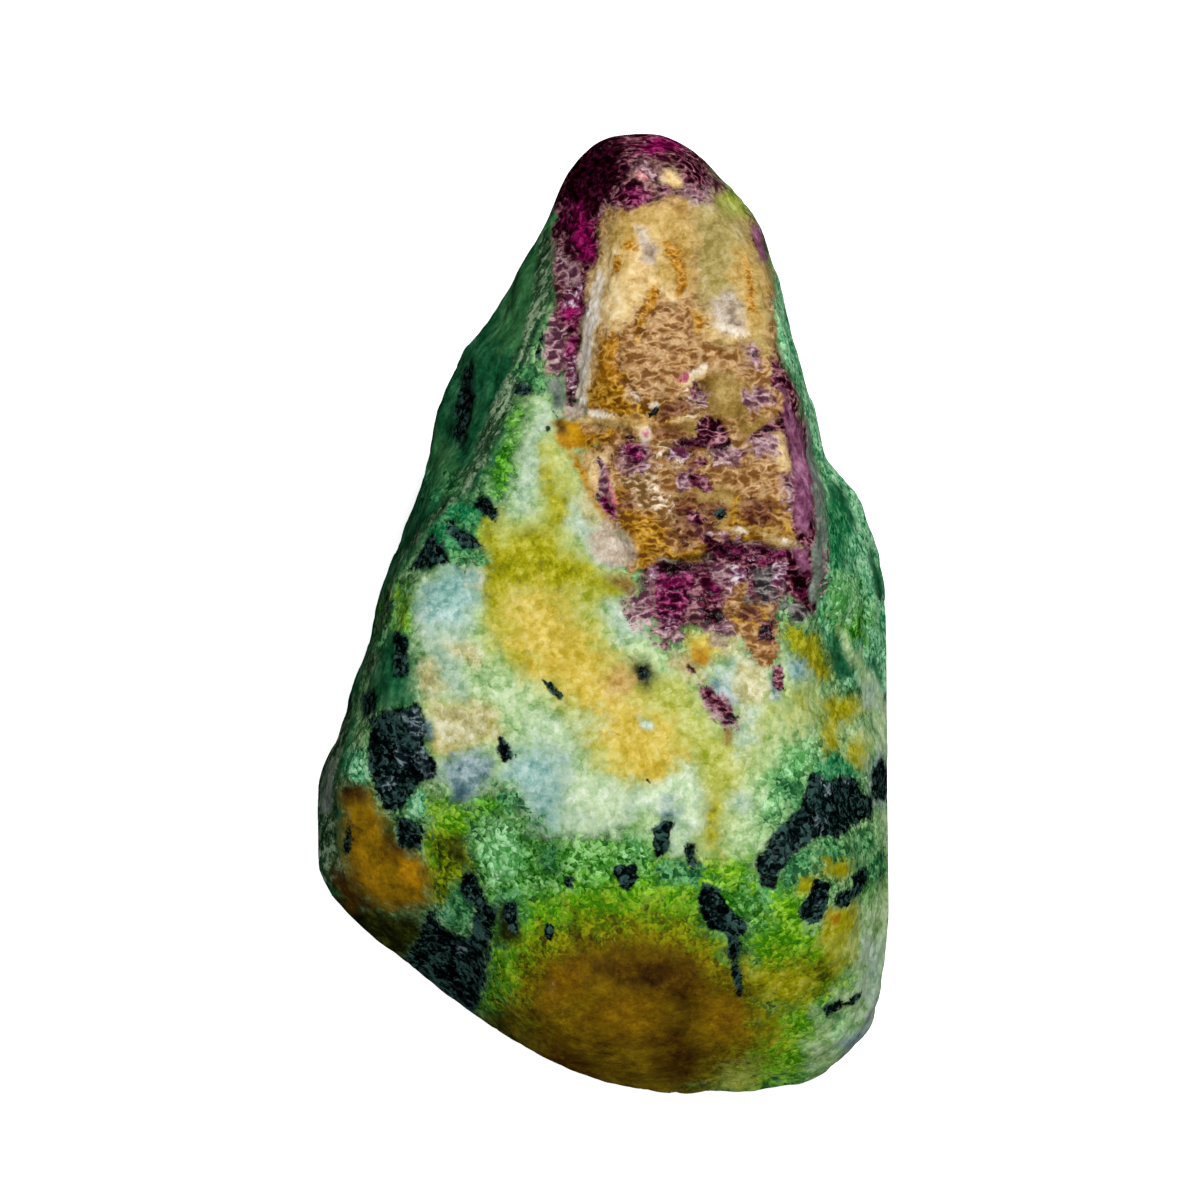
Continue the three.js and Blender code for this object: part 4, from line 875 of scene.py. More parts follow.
            (0.3, [(-2.4, 18.2), (-1.3, 18.9), (-1.1, 17.6), (-1.4, 16.8), (-2.2, 17.2)]),
            (0.3, [(-2.1, 16.2), (-1.6, 16.2), (-1.7, 14.6), (-2.1, 14.6)]),
            (0.4, [(3, 2.6), (5, 2.6), (5.2, 1), (4.4, -0.4), (3.6, -0.8), (3, 0.2)]),
            (0.3, [(5.8, 2.4), (6.8, 1.6), (6.8, 0.8), (6.2, 1), (5.8, 1.6)]),
            (0.25, [(9, 3.8), (10.6, 3.6), (10.4, 3), (9, 3)]),
            (0.3, [(7.2, 3.9), (8.4, 3.8), (8.2, 3.2), (7.2, 3.4)]),
            (0.2, [(-0.2, 6.8), (0.3, 7), (0.8, 6), (0.6, 5.6), (0.1, 6.2)]),
            (0.3, [(-1.5, 21.4), (-0.7, 21.4), (-0.5, 20.8), (-1.1, 20.4), (-1.6, 20.8)]),
            (0.2, [(1.4, 9.9), (2.2, 9.9), (2.4, 9), (1.8, 8.8)]),
            (0.3, [(11.1, 9), (11.9, 8.6), (12, 7), (11.3, 7.2)]),
            (0.3, [(1.4, 24.6), (2.6, 24.6), (2.6, 23.9), (1.4, 23.8)]),
        ],
    },
    "wine": {  # nearly black ruby, partly painted shadow in the hollows, under the ledges and at the tip
        "tones": [srgb(12, 0, 2), srgb(34, 0, 12), srgb(84, 18, 48)],
        "field": "scaly", "edge": 0.6, "ragged": 3, "spread": 1.2, "rough": 0.28, "grainy": 0.9,
        "patches": [
            (0.6, [(-2.6, 25.6), (-0.4, 28), (1.2, 27.4), (1, 25), (-0.2, 23.6), (-0.7, 22), (-0.3, 20.9),
                   (-1.2, 20.2), (-2.2, 21.2), (-2.6, 22.4), (-2.2, 23.4)]),
            (0.25, [(3.2, 2.9), (6, 3), (5.8, 2.5), (4.6, 2.3), (3.6, 2.2)]),
            (0.2, [(5.6, 0.3), (7.1, 0.2), (6.9, -0.6), (5.8, -0.3)]),
            (0.2, [(9.1, -0.7), (9.9, -0.6), (9.8, -1.5), (9.1, -1.4)]),
            (0.2, [(6.4, 4.2), (7.8, 3.6), (8.4, 3), (7.2, 3.1), (6.4, 3.6)]),
            (0.2, [(-2, 14.6), (-1.6, 14.6), (-1.6, 12.3), (-1.9, 12.2)]),
            (0.3, [(10.9, 2.2), (12, 2.4), (12.2, 0.6), (11.6, 0.8)]),
            (0.2, [(1.2, 10.4), (1.7, 10.4), (1.8, 10.05), (1.2, 10.1)]),
            (0.2, [(5, 10), (6.2, 10.2), (6, 9.7), (5.1, 9.7)]),
        ],
    },
    "magenta": {  # the clearest ruby, nearly pink-red
        "tones": [srgb(66, 0, 34), srgb(128, 0, 72), srgb(168, 40, 110)],
        "field": "scaly", "edge": 0.7, "ragged": 4, "spread": 1.3, "rough": 0.28, "grainy": 0.7,
        "patches": [
            (0.5, [(-1.8, 23.8), (-1, 23.8), (-0.6, 22.8), (-0.8, 21.6), (-1.5, 21.4), (-2, 22.4)]),
            (0.4, [(2, 27), (3, 27.8), (4.4, 27.8), (4.4, 27), (3, 26.6)]),
            (0.25, [(-2.2, 18), (-1.5, 18.4), (-1.3, 17.4), (-1.9, 17.2)]),
            (0.25, [(-1.5, 21.6), (-0.6, 21.6), (-0.5, 20.6), (-1.2, 20.4)]),
        ],
    },
    "glint": {  # painted glints: pale highlights on the crystal faces in the lower ruby
        "tones": [srgb(84, 30, 56), srgb(134, 90, 112), srgb(214, 200, 208)],
        "field": "scaly", "edge": 0.5, "ragged": 6, "spread": 1.2, "rough": 0.3, "grainy": 0.9,
        "patches": [
            (0.2, [(3.4, -0.2), (4.1, -0.1), (4.2, -0.9), (3.5, -0.9)]),
            (0.2, [(2.4, 2.4), (3, 2.7), (3.1, 1.9), (2.5, 1.7)]),
            (0.25, [(7.4, 2.5), (8.6, 2.7), (8.6, 1.7), (7.5, 1.6)]),
            (0.2, [(9.9, 2.9), (10.6, 2.8), (10.5, 1.4), (9.9, 1.4)]),
            (0.2, [(4, 9.8), (5, 9.6), (4.8, 8.9), (4, 9)]),
            (0.2, [(-2.2, 18.9), (-1.4, 18.9), (-1.5, 18), (-2.2, 18)]),
            (0.2, [(-2.2, 15), (-1.7, 15), (-1.7, 13.4), (-2.1, 13.4)]),
        ],
    },
    "mauve": {  # smooth dull purple rim
        "tones": [srgb(80, 32, 60), srgb(134, 76, 106), srgb(176, 122, 148)],
        "field": "milky", "edge": 0.6, "ragged": 3, "spread": 1.2, "rough": 0.4, "grainy": 0.3,
        "patches": [
            (0.3, [(10.1, 13.7), (10.6, 13.1), (11, 12), (11.5, 10.6), (11.9, 9), (12.1, 7.4), (12.1, 5.6),
                   (12, 4.6), (11.3, 5), (11.1, 6), (11.1, 7.8), (10.9, 9.2), (10.7, 10.4), (10.4, 11.6),
                   (10.5, 12.6)]),
            (0.25, [(11, 3.9), (11.9, 3.6), (12, 2.6), (11.4, 2.5)]),
            (0.25, [(8.6, 22.7), (9.2, 22.1), (9.6, 20.8), (9.2, 20.4), (8.9, 21.4)]),
        ],
    },
    "sage": {  # pale grey-green skin beside the ruby
        "tones": [srgb(66, 80, 70), srgb(110, 120, 108), srgb(150, 158, 146)],
        "field": "cloudy", "edge": 0.6, "ragged": 3, "spread": 1.2, "rough": 0.5, "grainy": 0.4,
        "patches": [
            (0.22, [(11.8, 11.6), (12.2, 10.2), (12.55, 8.6), (12.85, 7), (12.9, 5), (12.8, 3), (12.6, 1.6),
                    (12.3, 0.6), (12.05, 0.8), (12.15, 2.6), (12.3, 4.8), (12.25, 6.8), (12, 8.6),
                    (11.75, 10.4)]),
            (0.35, [(-3.3, 13.7), (-2.4, 13.6), (-2.1, 12.2), (-2.7, 11.7), (-3.1, 12.6)]),
            (0.3, [(-15.9, -8.6), (-15.6, -8.8), (-15.9, -11.6), (-16.3, -11.6)]),
        ],
    },
    "chartreuse": {  # yellow-green spots on the ruby
        "tones": [srgb(116, 136, 16), srgb(162, 172, 62), srgb(192, 198, 112)],
        "field": "milky", "edge": 0.9, "ragged": 4, "spread": 1.3, "rough": 0.55, "grainy": 0.3,
        "patches": [
            (0.4, [(6.6, 24.3), (7.4, 24.6), (8.3, 23.6), (8.2, 23), (7.3, 23.3)]),
            (0.6, [(13.4, -19), (14.6, -19), (14.6, -20), (13.4, -20)]),
            (0.8, [(7, -26.4), (8.8, -26.2), (8.6, -27.6), (7.2, -27.6)]),
        ],
    },
    "hornblende": {  # black
        "tones": [srgb(0, 0, 2), srgb(4, 20, 18), srgb(50, 80, 74)],
        "field": "sugary", "edge": 0.4, "ragged": 2.5, "spread": 1, "rough": 0.35, "grainy": 0.8,
        "patches": [
            (0.35, [(-13.6, -6), (-12.4, -5.6), (-10.8, -5.2), (-10.3, -6.4), (-10.4, -7.8), (-9.8, -8.6),
                    (-9.6, -9.4), (-10.8, -10), (-11.4, -11), (-12.2, -11.6), (-12.8, -11.2), (-13.4, -9.8),
                    (-13.6, -8.4)]),
            (0.3, [(-12.2, -11.8), (-11.2, -11.7), (-10.3, -12.6), (-10.6, -13.6), (-11.8, -13.4)]),
            (0.25, [(12.1, -9), (13, -9.8), (13.8, -9.2), (14.8, -9.4), (14.9, -10.4), (15.8, -10.8),
                    (15.6, -11.9), (14.6, -12.2), (13.8, -13), (12.4, -12.9), (11.6, -13.8), (10.4, -14.6),
                    (10.1, -15.9), (9.2, -16), (8.8, -14.6), (9.6, -13.4), (9.9, -12.4), (10.8, -12),
                    (11.6, -11.2), (11.7, -9.9)]),
            (0.25, [(5.8, -15.7), (6.8, -15.8), (7.3, -16.8), (7.8, -17.4), (8.4, -17.8), (8.6, -18.4),
                    (8, -18.8), (8, -20), (7.3, -20.1), (7.3, -18.5), (6.2, -18.3), (5.6, -17.6),
                    (5.4, -16.6)]),
            (0.3, [(7.4, -20.2), (8, -20.2), (8.2, -21.6), (8, -22.2), (7.6, -21.4)]),
            (0.2, [(0.6, -14.7), (2, -14.5), (2.1, -15.2), (1.6, -16.2), (1, -15.9), (0.6, -15.2)]),
            (0.2, [(12.4, -15.3), (13.2, -15.6), (13.1, -16.6), (12.8, -17.9), (11.9, -18), (11.3, -17.4),
                   (12, -16.4)]),
            (0.2, [(14.4, -15.2), (15.2, -14.7), (15.4, -15.3), (15.2, -15.9), (14.2, -17), (13.4, -16.9),
                   (13.6, -16.2), (14.6, -15.9)]),
            (0.35, [(-8.1, -15), (-7.2, -15.2), (-6.9, -16.4), (-6.3, -17.2), (-6.4, -18.4), (-6.7, -19.8),
                    (-6.9, -21.2), (-7.2, -23), (-8.4, -24), (-10.4, -23), (-12, -20.8), (-10.8, -19),
                    (-10.4, -17.6), (-9.8, -17.2), (-9.2, -18.2), (-8.2, -18.8), (-7.7, -18.6),
                    (-7.6, -17.2), (-8.2, -16.4)]),
            (0.2, [(-5.8, -16.9), (-5.2, -16.7), (-4.9, -17.6), (-4.9, -18.8), (-5.6, -18.2),
                   (-5.9, -17.6)]),
            (0.2, [(-3.4, -17.8), (-2.8, -18.1), (-2.8, -19.1), (-3.3, -18.7)]),
            (0.15, [(-2.3, -15.2), (-1.6, -15.4), (-1.8, -16), (-2.2, -15.8)]),
            (0.3, [(-10.9, 3.5), (-10.1, 4.5), (-9.2, 4.2), (-8.9, 3), (-10.1, 2.7), (-11.3, 2.6)]),
            (0.3, [(-9.2, 5.4), (-8.1, 5), (-7.1, 4.3), (-7, 3.7), (-8.1, 3.8), (-9, 4.4)]),
            (0.3, [(-7.2, 7.1), (-6.6, 6.6), (-6.1, 5.8), (-6.3, 5.3), (-7, 5.8), (-7.5, 6.4)]),
            (0.35, [(-7.6, 14.8), (-7.5, 12.6), (-7.8, 10.8), (-8.4, 9.6), (-8.7, 10.4), (-8.4, 12.2),
                    (-8.2, 14)]),
            (0.25, [(-4.9, 13.6), (-4.2, 13.5), (-4, 12.9), (-4.6, 12.5), (-5.2, 12.9)]),
            (0.2, [(-3.5, 16.2), (-3.2, 16), (-3.6, 14.8), (-3.9, 14.9)]),
            (0.25, [(3, -12.6), (3.6, -11.9), (4.2, -12), (3.9, -13), (3.7, -14), (3.1, -14.1),
                    (3, -13.4)]),
            (0.3, [(4.8, -13.3), (5.4, -13.2), (5.5, -14.6), (5.1, -15), (4.8, -14.4)]),
            (0.15, [(-3.7, -3.8), (-3, -4), (-2.3, -4.8), (-2.5, -5.1), (-3.2, -4.5)]),
            (0.25, [(2, -2.9), (2.5, -3), (2.6, -3.5), (2.2, -3.8), (1.9, -3.4)]),
            (0.25, [(-6, -7.1), (-5.6, -7.3), (-5.1, -8.3), (-5.8, -8.6), (-6.2, -7.9)]),
            (0.1, [(2.35, -9.5), (2.75, -9.5), (2.6, -9.9)]),
            (0.1, [(-3.35, 11), (-3.1, 11), (-3.1, 10.7), (-3.3, 10.7)]),
            (0.1, [(-2.95, 12), (-2.8, 11.9), (-2.45, 11.4), (-2.6, 11.4)]),
            (0.2, [(16.2, -8.3), (16.8, -9.4), (16.4, -11), (15.6, -10.5), (15.6, -9.2)]),
            (0.25, [(12.8, -22.9), (14, -22.3), (14.3, -22.8), (13, -23.5)]),
            (0.15, [(14.3, -22.2), (15.3, -21.7), (14.6, -22.9)]),
            (0.25, [(6.3, 5.9), (6.9, 6.1), (7.2, 5.7), (6.7, 5.3)]),
            (0.12, [(2.4, 11.4), (2.9, 12.1), (3.3, 12.3), (2.9, 11.6)]),
            (0.25, [(-14.9, -12.2), (-14.5, -12.2), (-14.6, -14), (-15.1, -14)]),
            (0.3, [(-12.2, -1), (-11.5, -1.2), (-11.3, -3.4), (-12.1, -3.6)]),
            (0.3, [(-13.9, -4.6), (-13, -4.2), (-13.2, -5.8), (-14, -6.2)]),
        ],
    },
    "frost": {  # grey speckles on the black grains
        "tones": [srgb(14, 26, 30), srgb(50, 68, 72), srgb(128, 146, 148)],
        "field": "scaly", "edge": 0.5, "ragged": 6, "spread": 1.2, "rough": 0.4, "grainy": 0.8,
        "patches": [
            (0.25, [(-11.6, -5.7), (-10.7, -5.6), (-10.4, -7), (-11.1, -7.2)]),
            (0.25, [(-12.3, -7.7), (-11.4, -7.7), (-11.1, -8.8), (-12, -8.7)]),
            (0.25, [(-10.8, -7.8), (-10, -8.2), (-10.1, -9.6), (-10.8, -9.3)]),
            (0.2, [(-12.8, -9.4), (-12.2, -9.3), (-12.1, -10.2), (-12.7, -10.2)]),
            (0.25, [(12.6, -9.4), (13.2, -9.8), (13.3, -10.6), (12.8, -10.5)]),
            (0.2, [(12.1, -11.8), (12.8, -11.7), (12.6, -12.5)]),
            (0.2, [(13.7, -9.7), (14.3, -9.7), (14.1, -10.3)]),
            (0.15, [(12.2, -16.5), (12.7, -16.5), (12.5, -17.1)]),
            (0.15, [(-8.6, -19.3), (-7.6, -19.4), (-8.2, -19.7)]),
        ],
    },
}


# The stone as the camera and the neighbours see it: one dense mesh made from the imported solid

stoneRules = {
    "node": "ruby_in_zoisite_stone",
    "name": "ruby_in_zoisite_rough",
    "merge": 0.01,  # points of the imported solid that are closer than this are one
    "cuts": 3,  # cuts of each edge of its triangles
    "rounding": 0.5,  # how far each repeat draws a point to the middle of its neighbours
    "roundRepeats": 5,
    "restHeight": 0.06,  # points lower than this lie on the floor and stay there
    "girdle": 9.5,  # height of the widest outline, below which the colours of the back begin
    "sideFade": 3.5,  # and over which they take the place of those of the front
    "sideTurn": (0.02, 0.4),  # how far down it faces where the sides begin and where they are full
    "borderSize": 3,  # how broad the waves are where front and back meet
    "wander": 0.22,  # how far the edges of the patches wander
    "backWander": 0.44,
    "carvingWander": 0.2,
    "waves": [(1.3, 1, 0), (0.5, 0.5, 4)],  # (size, share of the way, what is added to the seed)
    "flatHeight": 11,  # patches keep their size at this height, and shrink above it as if looked at
    "lookFrom": 450,  # from this much higher
    "upperTurn": (0.05, 0.35),  # how far up it faces where the carving of the front begins and is full
    "stainedMinerals": ("tan", "honey", "ruby", "wine", "lilac", "rubyRoot"),
    "stainedEdge": 0.4,
    "wornHeight": 0.16,
    "wornSize": 2.6,
    "wornOctaves": 3,
    "stainedWear": 0.5,  # the stained ruby has this much less of it
    "pitDepth": 0.1,
    "pitSize": 0.9,
    "pitOctaves": 2,
    "pitRange": (0.1, 0.7),
    "stepHeight": 0.13,  # the fine horizontal steps of the stained ruby
    "stepPitch": 0.75,
    "stepMean": 0.4,
    "stepWander": 0.9,
    "stepSize": 1.2,
    "stepStretch": (0.35, 1, 1),
    "ridgeHeight": 0.05,  # and the unevenness that runs along them
    "ridgeSize": 0.5,
    "ridgeStretch": (0.5, 1, 1),
    "sink": 0.45,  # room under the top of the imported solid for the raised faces
    "drift": 0.5,  # how uneven the height of a ledge is
    "driftSize": 1.4,
    "footDepth": 0.35,  # the hollow at the foot of a ledge, as a share of its rise
    "footPlace": 1.5,  # and how many edge widths it lies outside
    "allSink": 0.1,  # everything that doesn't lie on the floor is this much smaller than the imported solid
    "allSinkRise": (0.1, 1.5),
    "deepDent": 0.5,  # a dent of this depth has all of its shade
    "groundRough": 0.5,
    "groundGrainy": 1.0,
    "swellWidth": 8,  # the swell of the sides grows over this width
    "swellSteep": (0.55, 0.9),
    "swellRise": (0.5, 4),
    # how far each side stands out, as (y, millimetres)
    "leftSwell": [(-26, 0.2), (-24, 0.3), (-22, 0.35), (-20, 0), (-18, 0.1), (-16.5, 0.5), (-15, 0.5),
                  (-13, 0.3), (-11, 0.45), (-8, 0.3), (-5.5, 0), (-4, 0.3), (0, 0.35), (2, 0.4), (4, 0.1),
                  (9, 0), (11, 0.25), (13, 0.4), (15.5, 0.6), (17, 0.3), (20, 0.45), (22, 0.3), (25, 0.2)],
    "rightSwell": [(-27, 0.55), (-26, 0.8), (-25, 0.75), (-24, 0.65), (-23, 0.45), (-20, 0.4), (-17, 0.5),
                   (-13, 0.35), (-10.5, 0.2), (-8, 0.5), (-5, 0.3), (-2, 0.55), (2, 0.65), (5, 0.5), (7, 0.5),
                   (8.2, 0.2), (9, 0), (10, 0.1), (12, 0.35), (15, 0.1), (20, 0), (22, 0.15)],
    # the seed of each noise
    "seeds": {"front": 3, "back": 5, "border": 8, "carving": 15, "worn": 21, "pits": 31, "steps": 41,
              "ridges": 45, "ledges": 51},
}

wellInside = 2.0  # the share of a mineral deep inside its patch, which is 0 on the edge
together = 3  # so many minerals share one attribute, which keeps the material quick


def keepOnPoints(stone, name, values):
    # one number for each point, or three
    kind, field = ("FLOAT", "value") if values.ndim == 1 else ("FLOAT_VECTOR", "vector")
    attribute = stone.data.attributes.new(name, kind, "POINT")
    attribute.data.foreach_set(field, values.astype(np.float32).ravel())


def makeStone(rules):
    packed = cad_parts[rules["node"]]
    stone = bpy.data.objects.new(rules["name"], packed.data.copy())
    scene.collection.objects.link(stone)
    activate(stone)
    bpy.ops.object.mode_set(mode="EDIT")
    bpy.ops.mesh.select_all(action="SELECT")
    bpy.ops.mesh.remove_doubles(threshold=rules["merge"] * millimetre)
    bpy.ops.mesh.subdivide(number_cuts=rules["cuts"])
    bpy.ops.mesh.vertices_smooth(factor=rules["rounding"], repeat=rules["roundRepeats"])
    bpy.ops.mesh.quads_convert_to_tris()
    bpy.ops.mesh.normals_make_consistent(inside=False)
    bpy.ops.object.mode_set(mode="OBJECT")
    bpy.ops.object.shade_smooth()
    return stone


# Grooves and seams as (width, depth, path), ledges as (edge width, height, corners)

grooves = [
    (0.3, 0.25, [(-2, 12), (-1.9, 13.4), (-1.85, 15), (-1.85, 16.6), (-1.6, 18)]),
    (0.25, 0.4, [(3.1, 2.75), (4.2, 2.85), (5.2, 2.9), (6.1, 3.1)]),
    (0.25, 0.3, [(6.2, 3.5), (7.4, 3.4), (8.6, 3.3), (9.8, 3.2)]),
    (0.25, 0.25, [(7.2, 0.5), (8.4, 0.8), (9.4, 0.4), (10, -0.6)]),
    (0.2, 0.25, [(0.2, 16), (0.7, 15.2), (0.6, 14), (1.3, 13), (1.9, 12)]),
    (0.2, 0.2, [(3.6, 21.9), (4.3, 20.8), (4.6, 19.4), (4.3, 18.4)]),
    (0.2, 0.2, [(3.2, 19.2), (2.9, 18), (2.3, 16.6), (2, 15.9)]),
    (0.25, 0.3, [(2.4, 11.4), (2.9, 12.1), (3.3, 12.3)]),
    (0.25, 0.3, [(5.2, 13.7), (5.5, 13.1), (5.3, 12.5)]),
    (0.25, 0.3, [(-1, 10.8), (0.6, 10.7), (1.2, 10.3), (2.4, 9.8)]),
    (0.3, 0.25, [(-8.4, 14), (-7.9, 12.4), (-8.2, 10.6), (-8.6, 9.6)]),
    (0.25, 0.25, [(3.6, -12), (3.5, -13.2), (3.4, -14)]),
    (0.25, 0.25, [(7.6, -18.6), (7.7, -20), (7.8, -22)]),
    (0.2, 0.2, [(-3.1, -4), (-2.8, -4.5), (-2.3, -4.9)]),
    (0.25, 0.25, [(9.9, -3), (10.1, -4), (10.5, -4.4)]),
]

ledges = [
    (0.2, 0.2, [(4.2, 13.4), (4.9, 14.1), (6, 14.6), (6.1, 14.1), (5.4, 13.5)]),
    (0.35, 0.2, [(1.8, 3), (3, 3.2), (4.8, 3.2), (6.2, 3.6), (8.4, 4), (11.8, 3.8), (11, 7), (11, 10),
                 (6, 10.4), (1, 10), (0.2, 8), (0.8, 5)]),
]


def shareOf(flat, patches, spread):
    share = np.full(len(flat), -wellInside)
    for softness, corners in patches:
        softness = softness * spread
        reach = wellInside * softness
        low, high = np.min(corners, axis=0) - reach, np.max(corners, axis=0) + reach
        near = np.all((flat > low) & (flat < high), axis=1)
        if near.any():
            value = np.clip(insideBy(flat[near], corners) / softness, -wellInside, wellInside)
            share[near] = np.maximum(share[near], value)
    return share


def wandered(points, amount, waves, seed):
    # (x, y) places that drift a little, so that no edge of a patch stays straight
    moved = points[:, :2].copy()
    for axis in range(2):
        for size, part, later in waves:
            moved[:, axis] += part * amount * noiseAt(points, size, seed + later + axis)
    return moved


def mineralShares(stone, rules):
    points, normals = readTriples(stone.data, "co") / millimetre, readTriples(stone.data, "normal")
    waves, seeds = rules["waves"], rules["seeds"]
    outward = points[:, :2] / np.maximum(np.hypot(points[:, 0], points[:, 1]), 1)[:, None]
    turned = smoothStep(-normals[:, 2], *rules["sideTurn"])
    drop = np.maximum(rules["girdle"] - points[:, 2], 0) * turned
    flat = wandered(points, rules["wander"], waves, seeds["front"]) + outward * drop[:, None]
    higher = points[:, 2] - rules["flatHeight"]
    flat += points[:, :2] * (higher / rules["lookFrom"])[:, None]
    depth = rules["girdle"] - points[:, 2] + noiseAt(points, rules["borderSize"], seeds["border"])
    back = smoothStep(depth, 0, rules["sideFade"]) * turned
    under = wandered(points, rules["backWander"], waves, seeds["back"])
    shares = {}
    for name, mineral in minerals.items():
        front = shareOf(flat, mineral["patches"], mineral["spread"])
        hidden = shareOf(under, backPatches.get(name, []), 1)
        shares[name] = front * (1 - back) + hidden * back
    return shares


def paintMinerals(stone, rules):
    shares = mineralShares(stone, rules)
    rough, grainy = rules["groundRough"], rules["groundGrainy"]
    for name, mineral in minerals.items():
        mask = smoothStep(shares[name], -mineral["edge"], mineral["edge"])
        rough = rough + (mineral["rough"] - rough) * mask
        grainy = grainy + (mineral["grainy"] - grainy) * mask
    keepOnPoints(stone, "rough", rough)
    keepOnPoints(stone, "grainy", grainy)
    laid = list(shares.values())
    for first in range(0, len(laid), together):
        keepOnPoints(stone, f"minerals{first}", np.column_stack((laid + laid)[first:first + together]))


def swellOf(points, normals, rules):
    # how far the sides stand out, to the right
    left, right = (np.interp(points[:, 1], *zip(*rules[side])) for side in ("leftSwell", "rightSwell"))
    swell = right * smoothStep(points[:, 0], 0, rules["swellWidth"])
    swell -= left * smoothStep(-points[:, 0], 0, rules["swellWidth"])
    steep = smoothStep(np.hypot(normals[:, 0], normals[:, 1]), *rules["swellSteep"])
    return swell * steep * smoothStep(points[:, 2], *rules["swellRise"])


def carveStone(stone, rules, shares):
    points, normals = readTriples(stone.data, "co") / millimetre, readTriples(stone.data, "normal")
    seeds = rules["seeds"]
    drifted = wandered(points, rules["carvingWander"], rules["waves"], seeds["carving"])
    upper = smoothStep(normals[:, 2], *rules["upperTurn"])
    stained = np.maximum.reduce([shares[name] for name in rules["stainedMinerals"]])
    stained = smoothStep(stained, -rules["stainedEdge"], rules["stainedEdge"])

    # worn grain all round, and fine steps on the stained ruby
    worn = rules["wornHeight"] * fractalAt(points, rules["wornSize"], seeds["worn"], rules["wornOctaves"])
    phase = points[:, 1] / rules["stepPitch"]
    phase += rules["stepWander"] * noiseAt(points * rules["stepStretch"], rules["stepSize"], seeds["steps"])
    steps = rules["stepHeight"] * ((phase % 1) ** 2 - rules["stepMean"])
    ridges = noiseAt(points * rules["ridgeStretch"], rules["ridgeSize"], seeds["ridges"])
    steps += rules["ridgeHeight"] * ridges
    height = worn * (1 - rules["stainedWear"] * stained) + steps * stained * upper - rules["sink"] * upper

    # small dents in the zoisite, grooves, and ledges with a hollow at their foot
    pits = fractalAt(points, rules["pitSize"], seeds["pits"], rules["pitOctaves"])
    dents = rules["pitDepth"] * smoothStep(pits, *rules["pitRange"]) * (1 - stained)
    for width, depth, path in grooves:
        away = distanceToPath(drifted, path)
        dents += depth * upper * np.exp(-(away / width) ** 2)
    uneven = 1 + rules["drift"] * noiseAt(points, rules["driftSize"], seeds["ledges"])
    for edge, rise, corners in ledges:
        inside = insideBy(drifted, corners)
        height += rise * uneven * upper * smoothStep(inside, -edge, edge)
        foot = np.exp(-((inside + rules["footPlace"] * edge) / edge) ** 2)
        dents += rules["footDepth"] * rise * uneven * upper * foot
    height -= dents
    height[points[:, 2] < rules["restHeight"]] = 0
    height -= rules["allSink"] * smoothStep(points[:, 2], *rules["allSinkRise"])

    carved = points + normals * height[:, None]
    carved[:, 0] += swellOf(points, normals, rules)
    low, high = (np.array(corner) / millimetre for corner in cadBounds)
    writePoints(stone.data, np.clip(carved, low, high))
    keepOnPoints(stone, "scaly", stained)
    # the depth of the dents, which the material turns into painted shade
    keepOnPoints(stone, "hollow", np.clip(dents / rules["deepDent"], 0, 1))


# What shows of each mineral round the sides and on the back, as patches seen through from above

backPatches = {
    "deepGreen": [(1.5, [(-17, -16), (-15, 2), (-10, 8), (-6, 14), (-4, 10), (-7, 0), (-9, -12),
                         (-13, -22)])],
    "mint": [(2.0, [(-4, 4), (2, 6), (8, 0), (9, -8), (4, -13), (-3, -12), (-6, -4)])],
    "lemon": [(1.6, [(-2, 0), (3, 3), (6, -3), (3, -8), (-2, -6)])],
    "grass": [(1.5, [(8, 2), (14, 4), (17, -4), (15, -12), (10, -8)])],
    "olive": [(1.6, [(-6, -15), (4, -14), (10, -19), (8, -27), (-4, -27), (-9, -22)])],
    "brown": [(1.5, [(-3, -18), (4, -18), (6, -24), (2, -28), (-4, -26)])],
    "white": [(1.0, [(-7, -6), (-4, -5), (-3, -9), (-6, -11)]),
              (0.8, [(4, 4), (7, 3), (6, 0), (3, 1)])],
    "tan": [(1.0, [(-3, 9), (4, 8), (10, 9), (11, 16), (8, 24), (2, 26), (-2, 20), (-4, 13)])],
    "honey": [(0.9, [(0, 14), (5, 13), (7, 19), (3, 23), (0, 19)])],
    "lilac": [(0.7, [(-3, 12), (1, 9), (3, 12), (0, 16), (-3, 15)])],
    "ruby": [(0.8, [(-5, 18), (-1, 16), (1, 22), (6, 25), (6, 30), (-3, 30), (-6, 24)]),
             (0.6, [(7, 10), (11, 9), (13, 12), (10, 17), (8, 14)]),
             (0.6, [(1, 8), (5, 7), (6, 10), (2, 11)])],
    "wine": [(0.6, [(-4, 20), (-1, 20), (1, 25), (3, 28), (-2, 28)])],
    "hornblende": [(0.6, [(-12, -8), (-9, -5), (-7, -9), (-10, -13)]),
                   (0.5, [(9, -14), (13, -12), (12, -17), (9, -18)]),
                   (0.5, [(-2, -1), (0, 1), (1, -1), (-1, -3)]),
                   (0.5, [(6, -22), (9, -21), (8, -24), (5, -24)])],
}


# The material: granular green zoisite, with the minerals laid over it one by one.
# Each pattern is a sum of clouds, crystals and sugar, and its weights say how much of each.
# Clouds are (size in millimetres, detail, roughness).

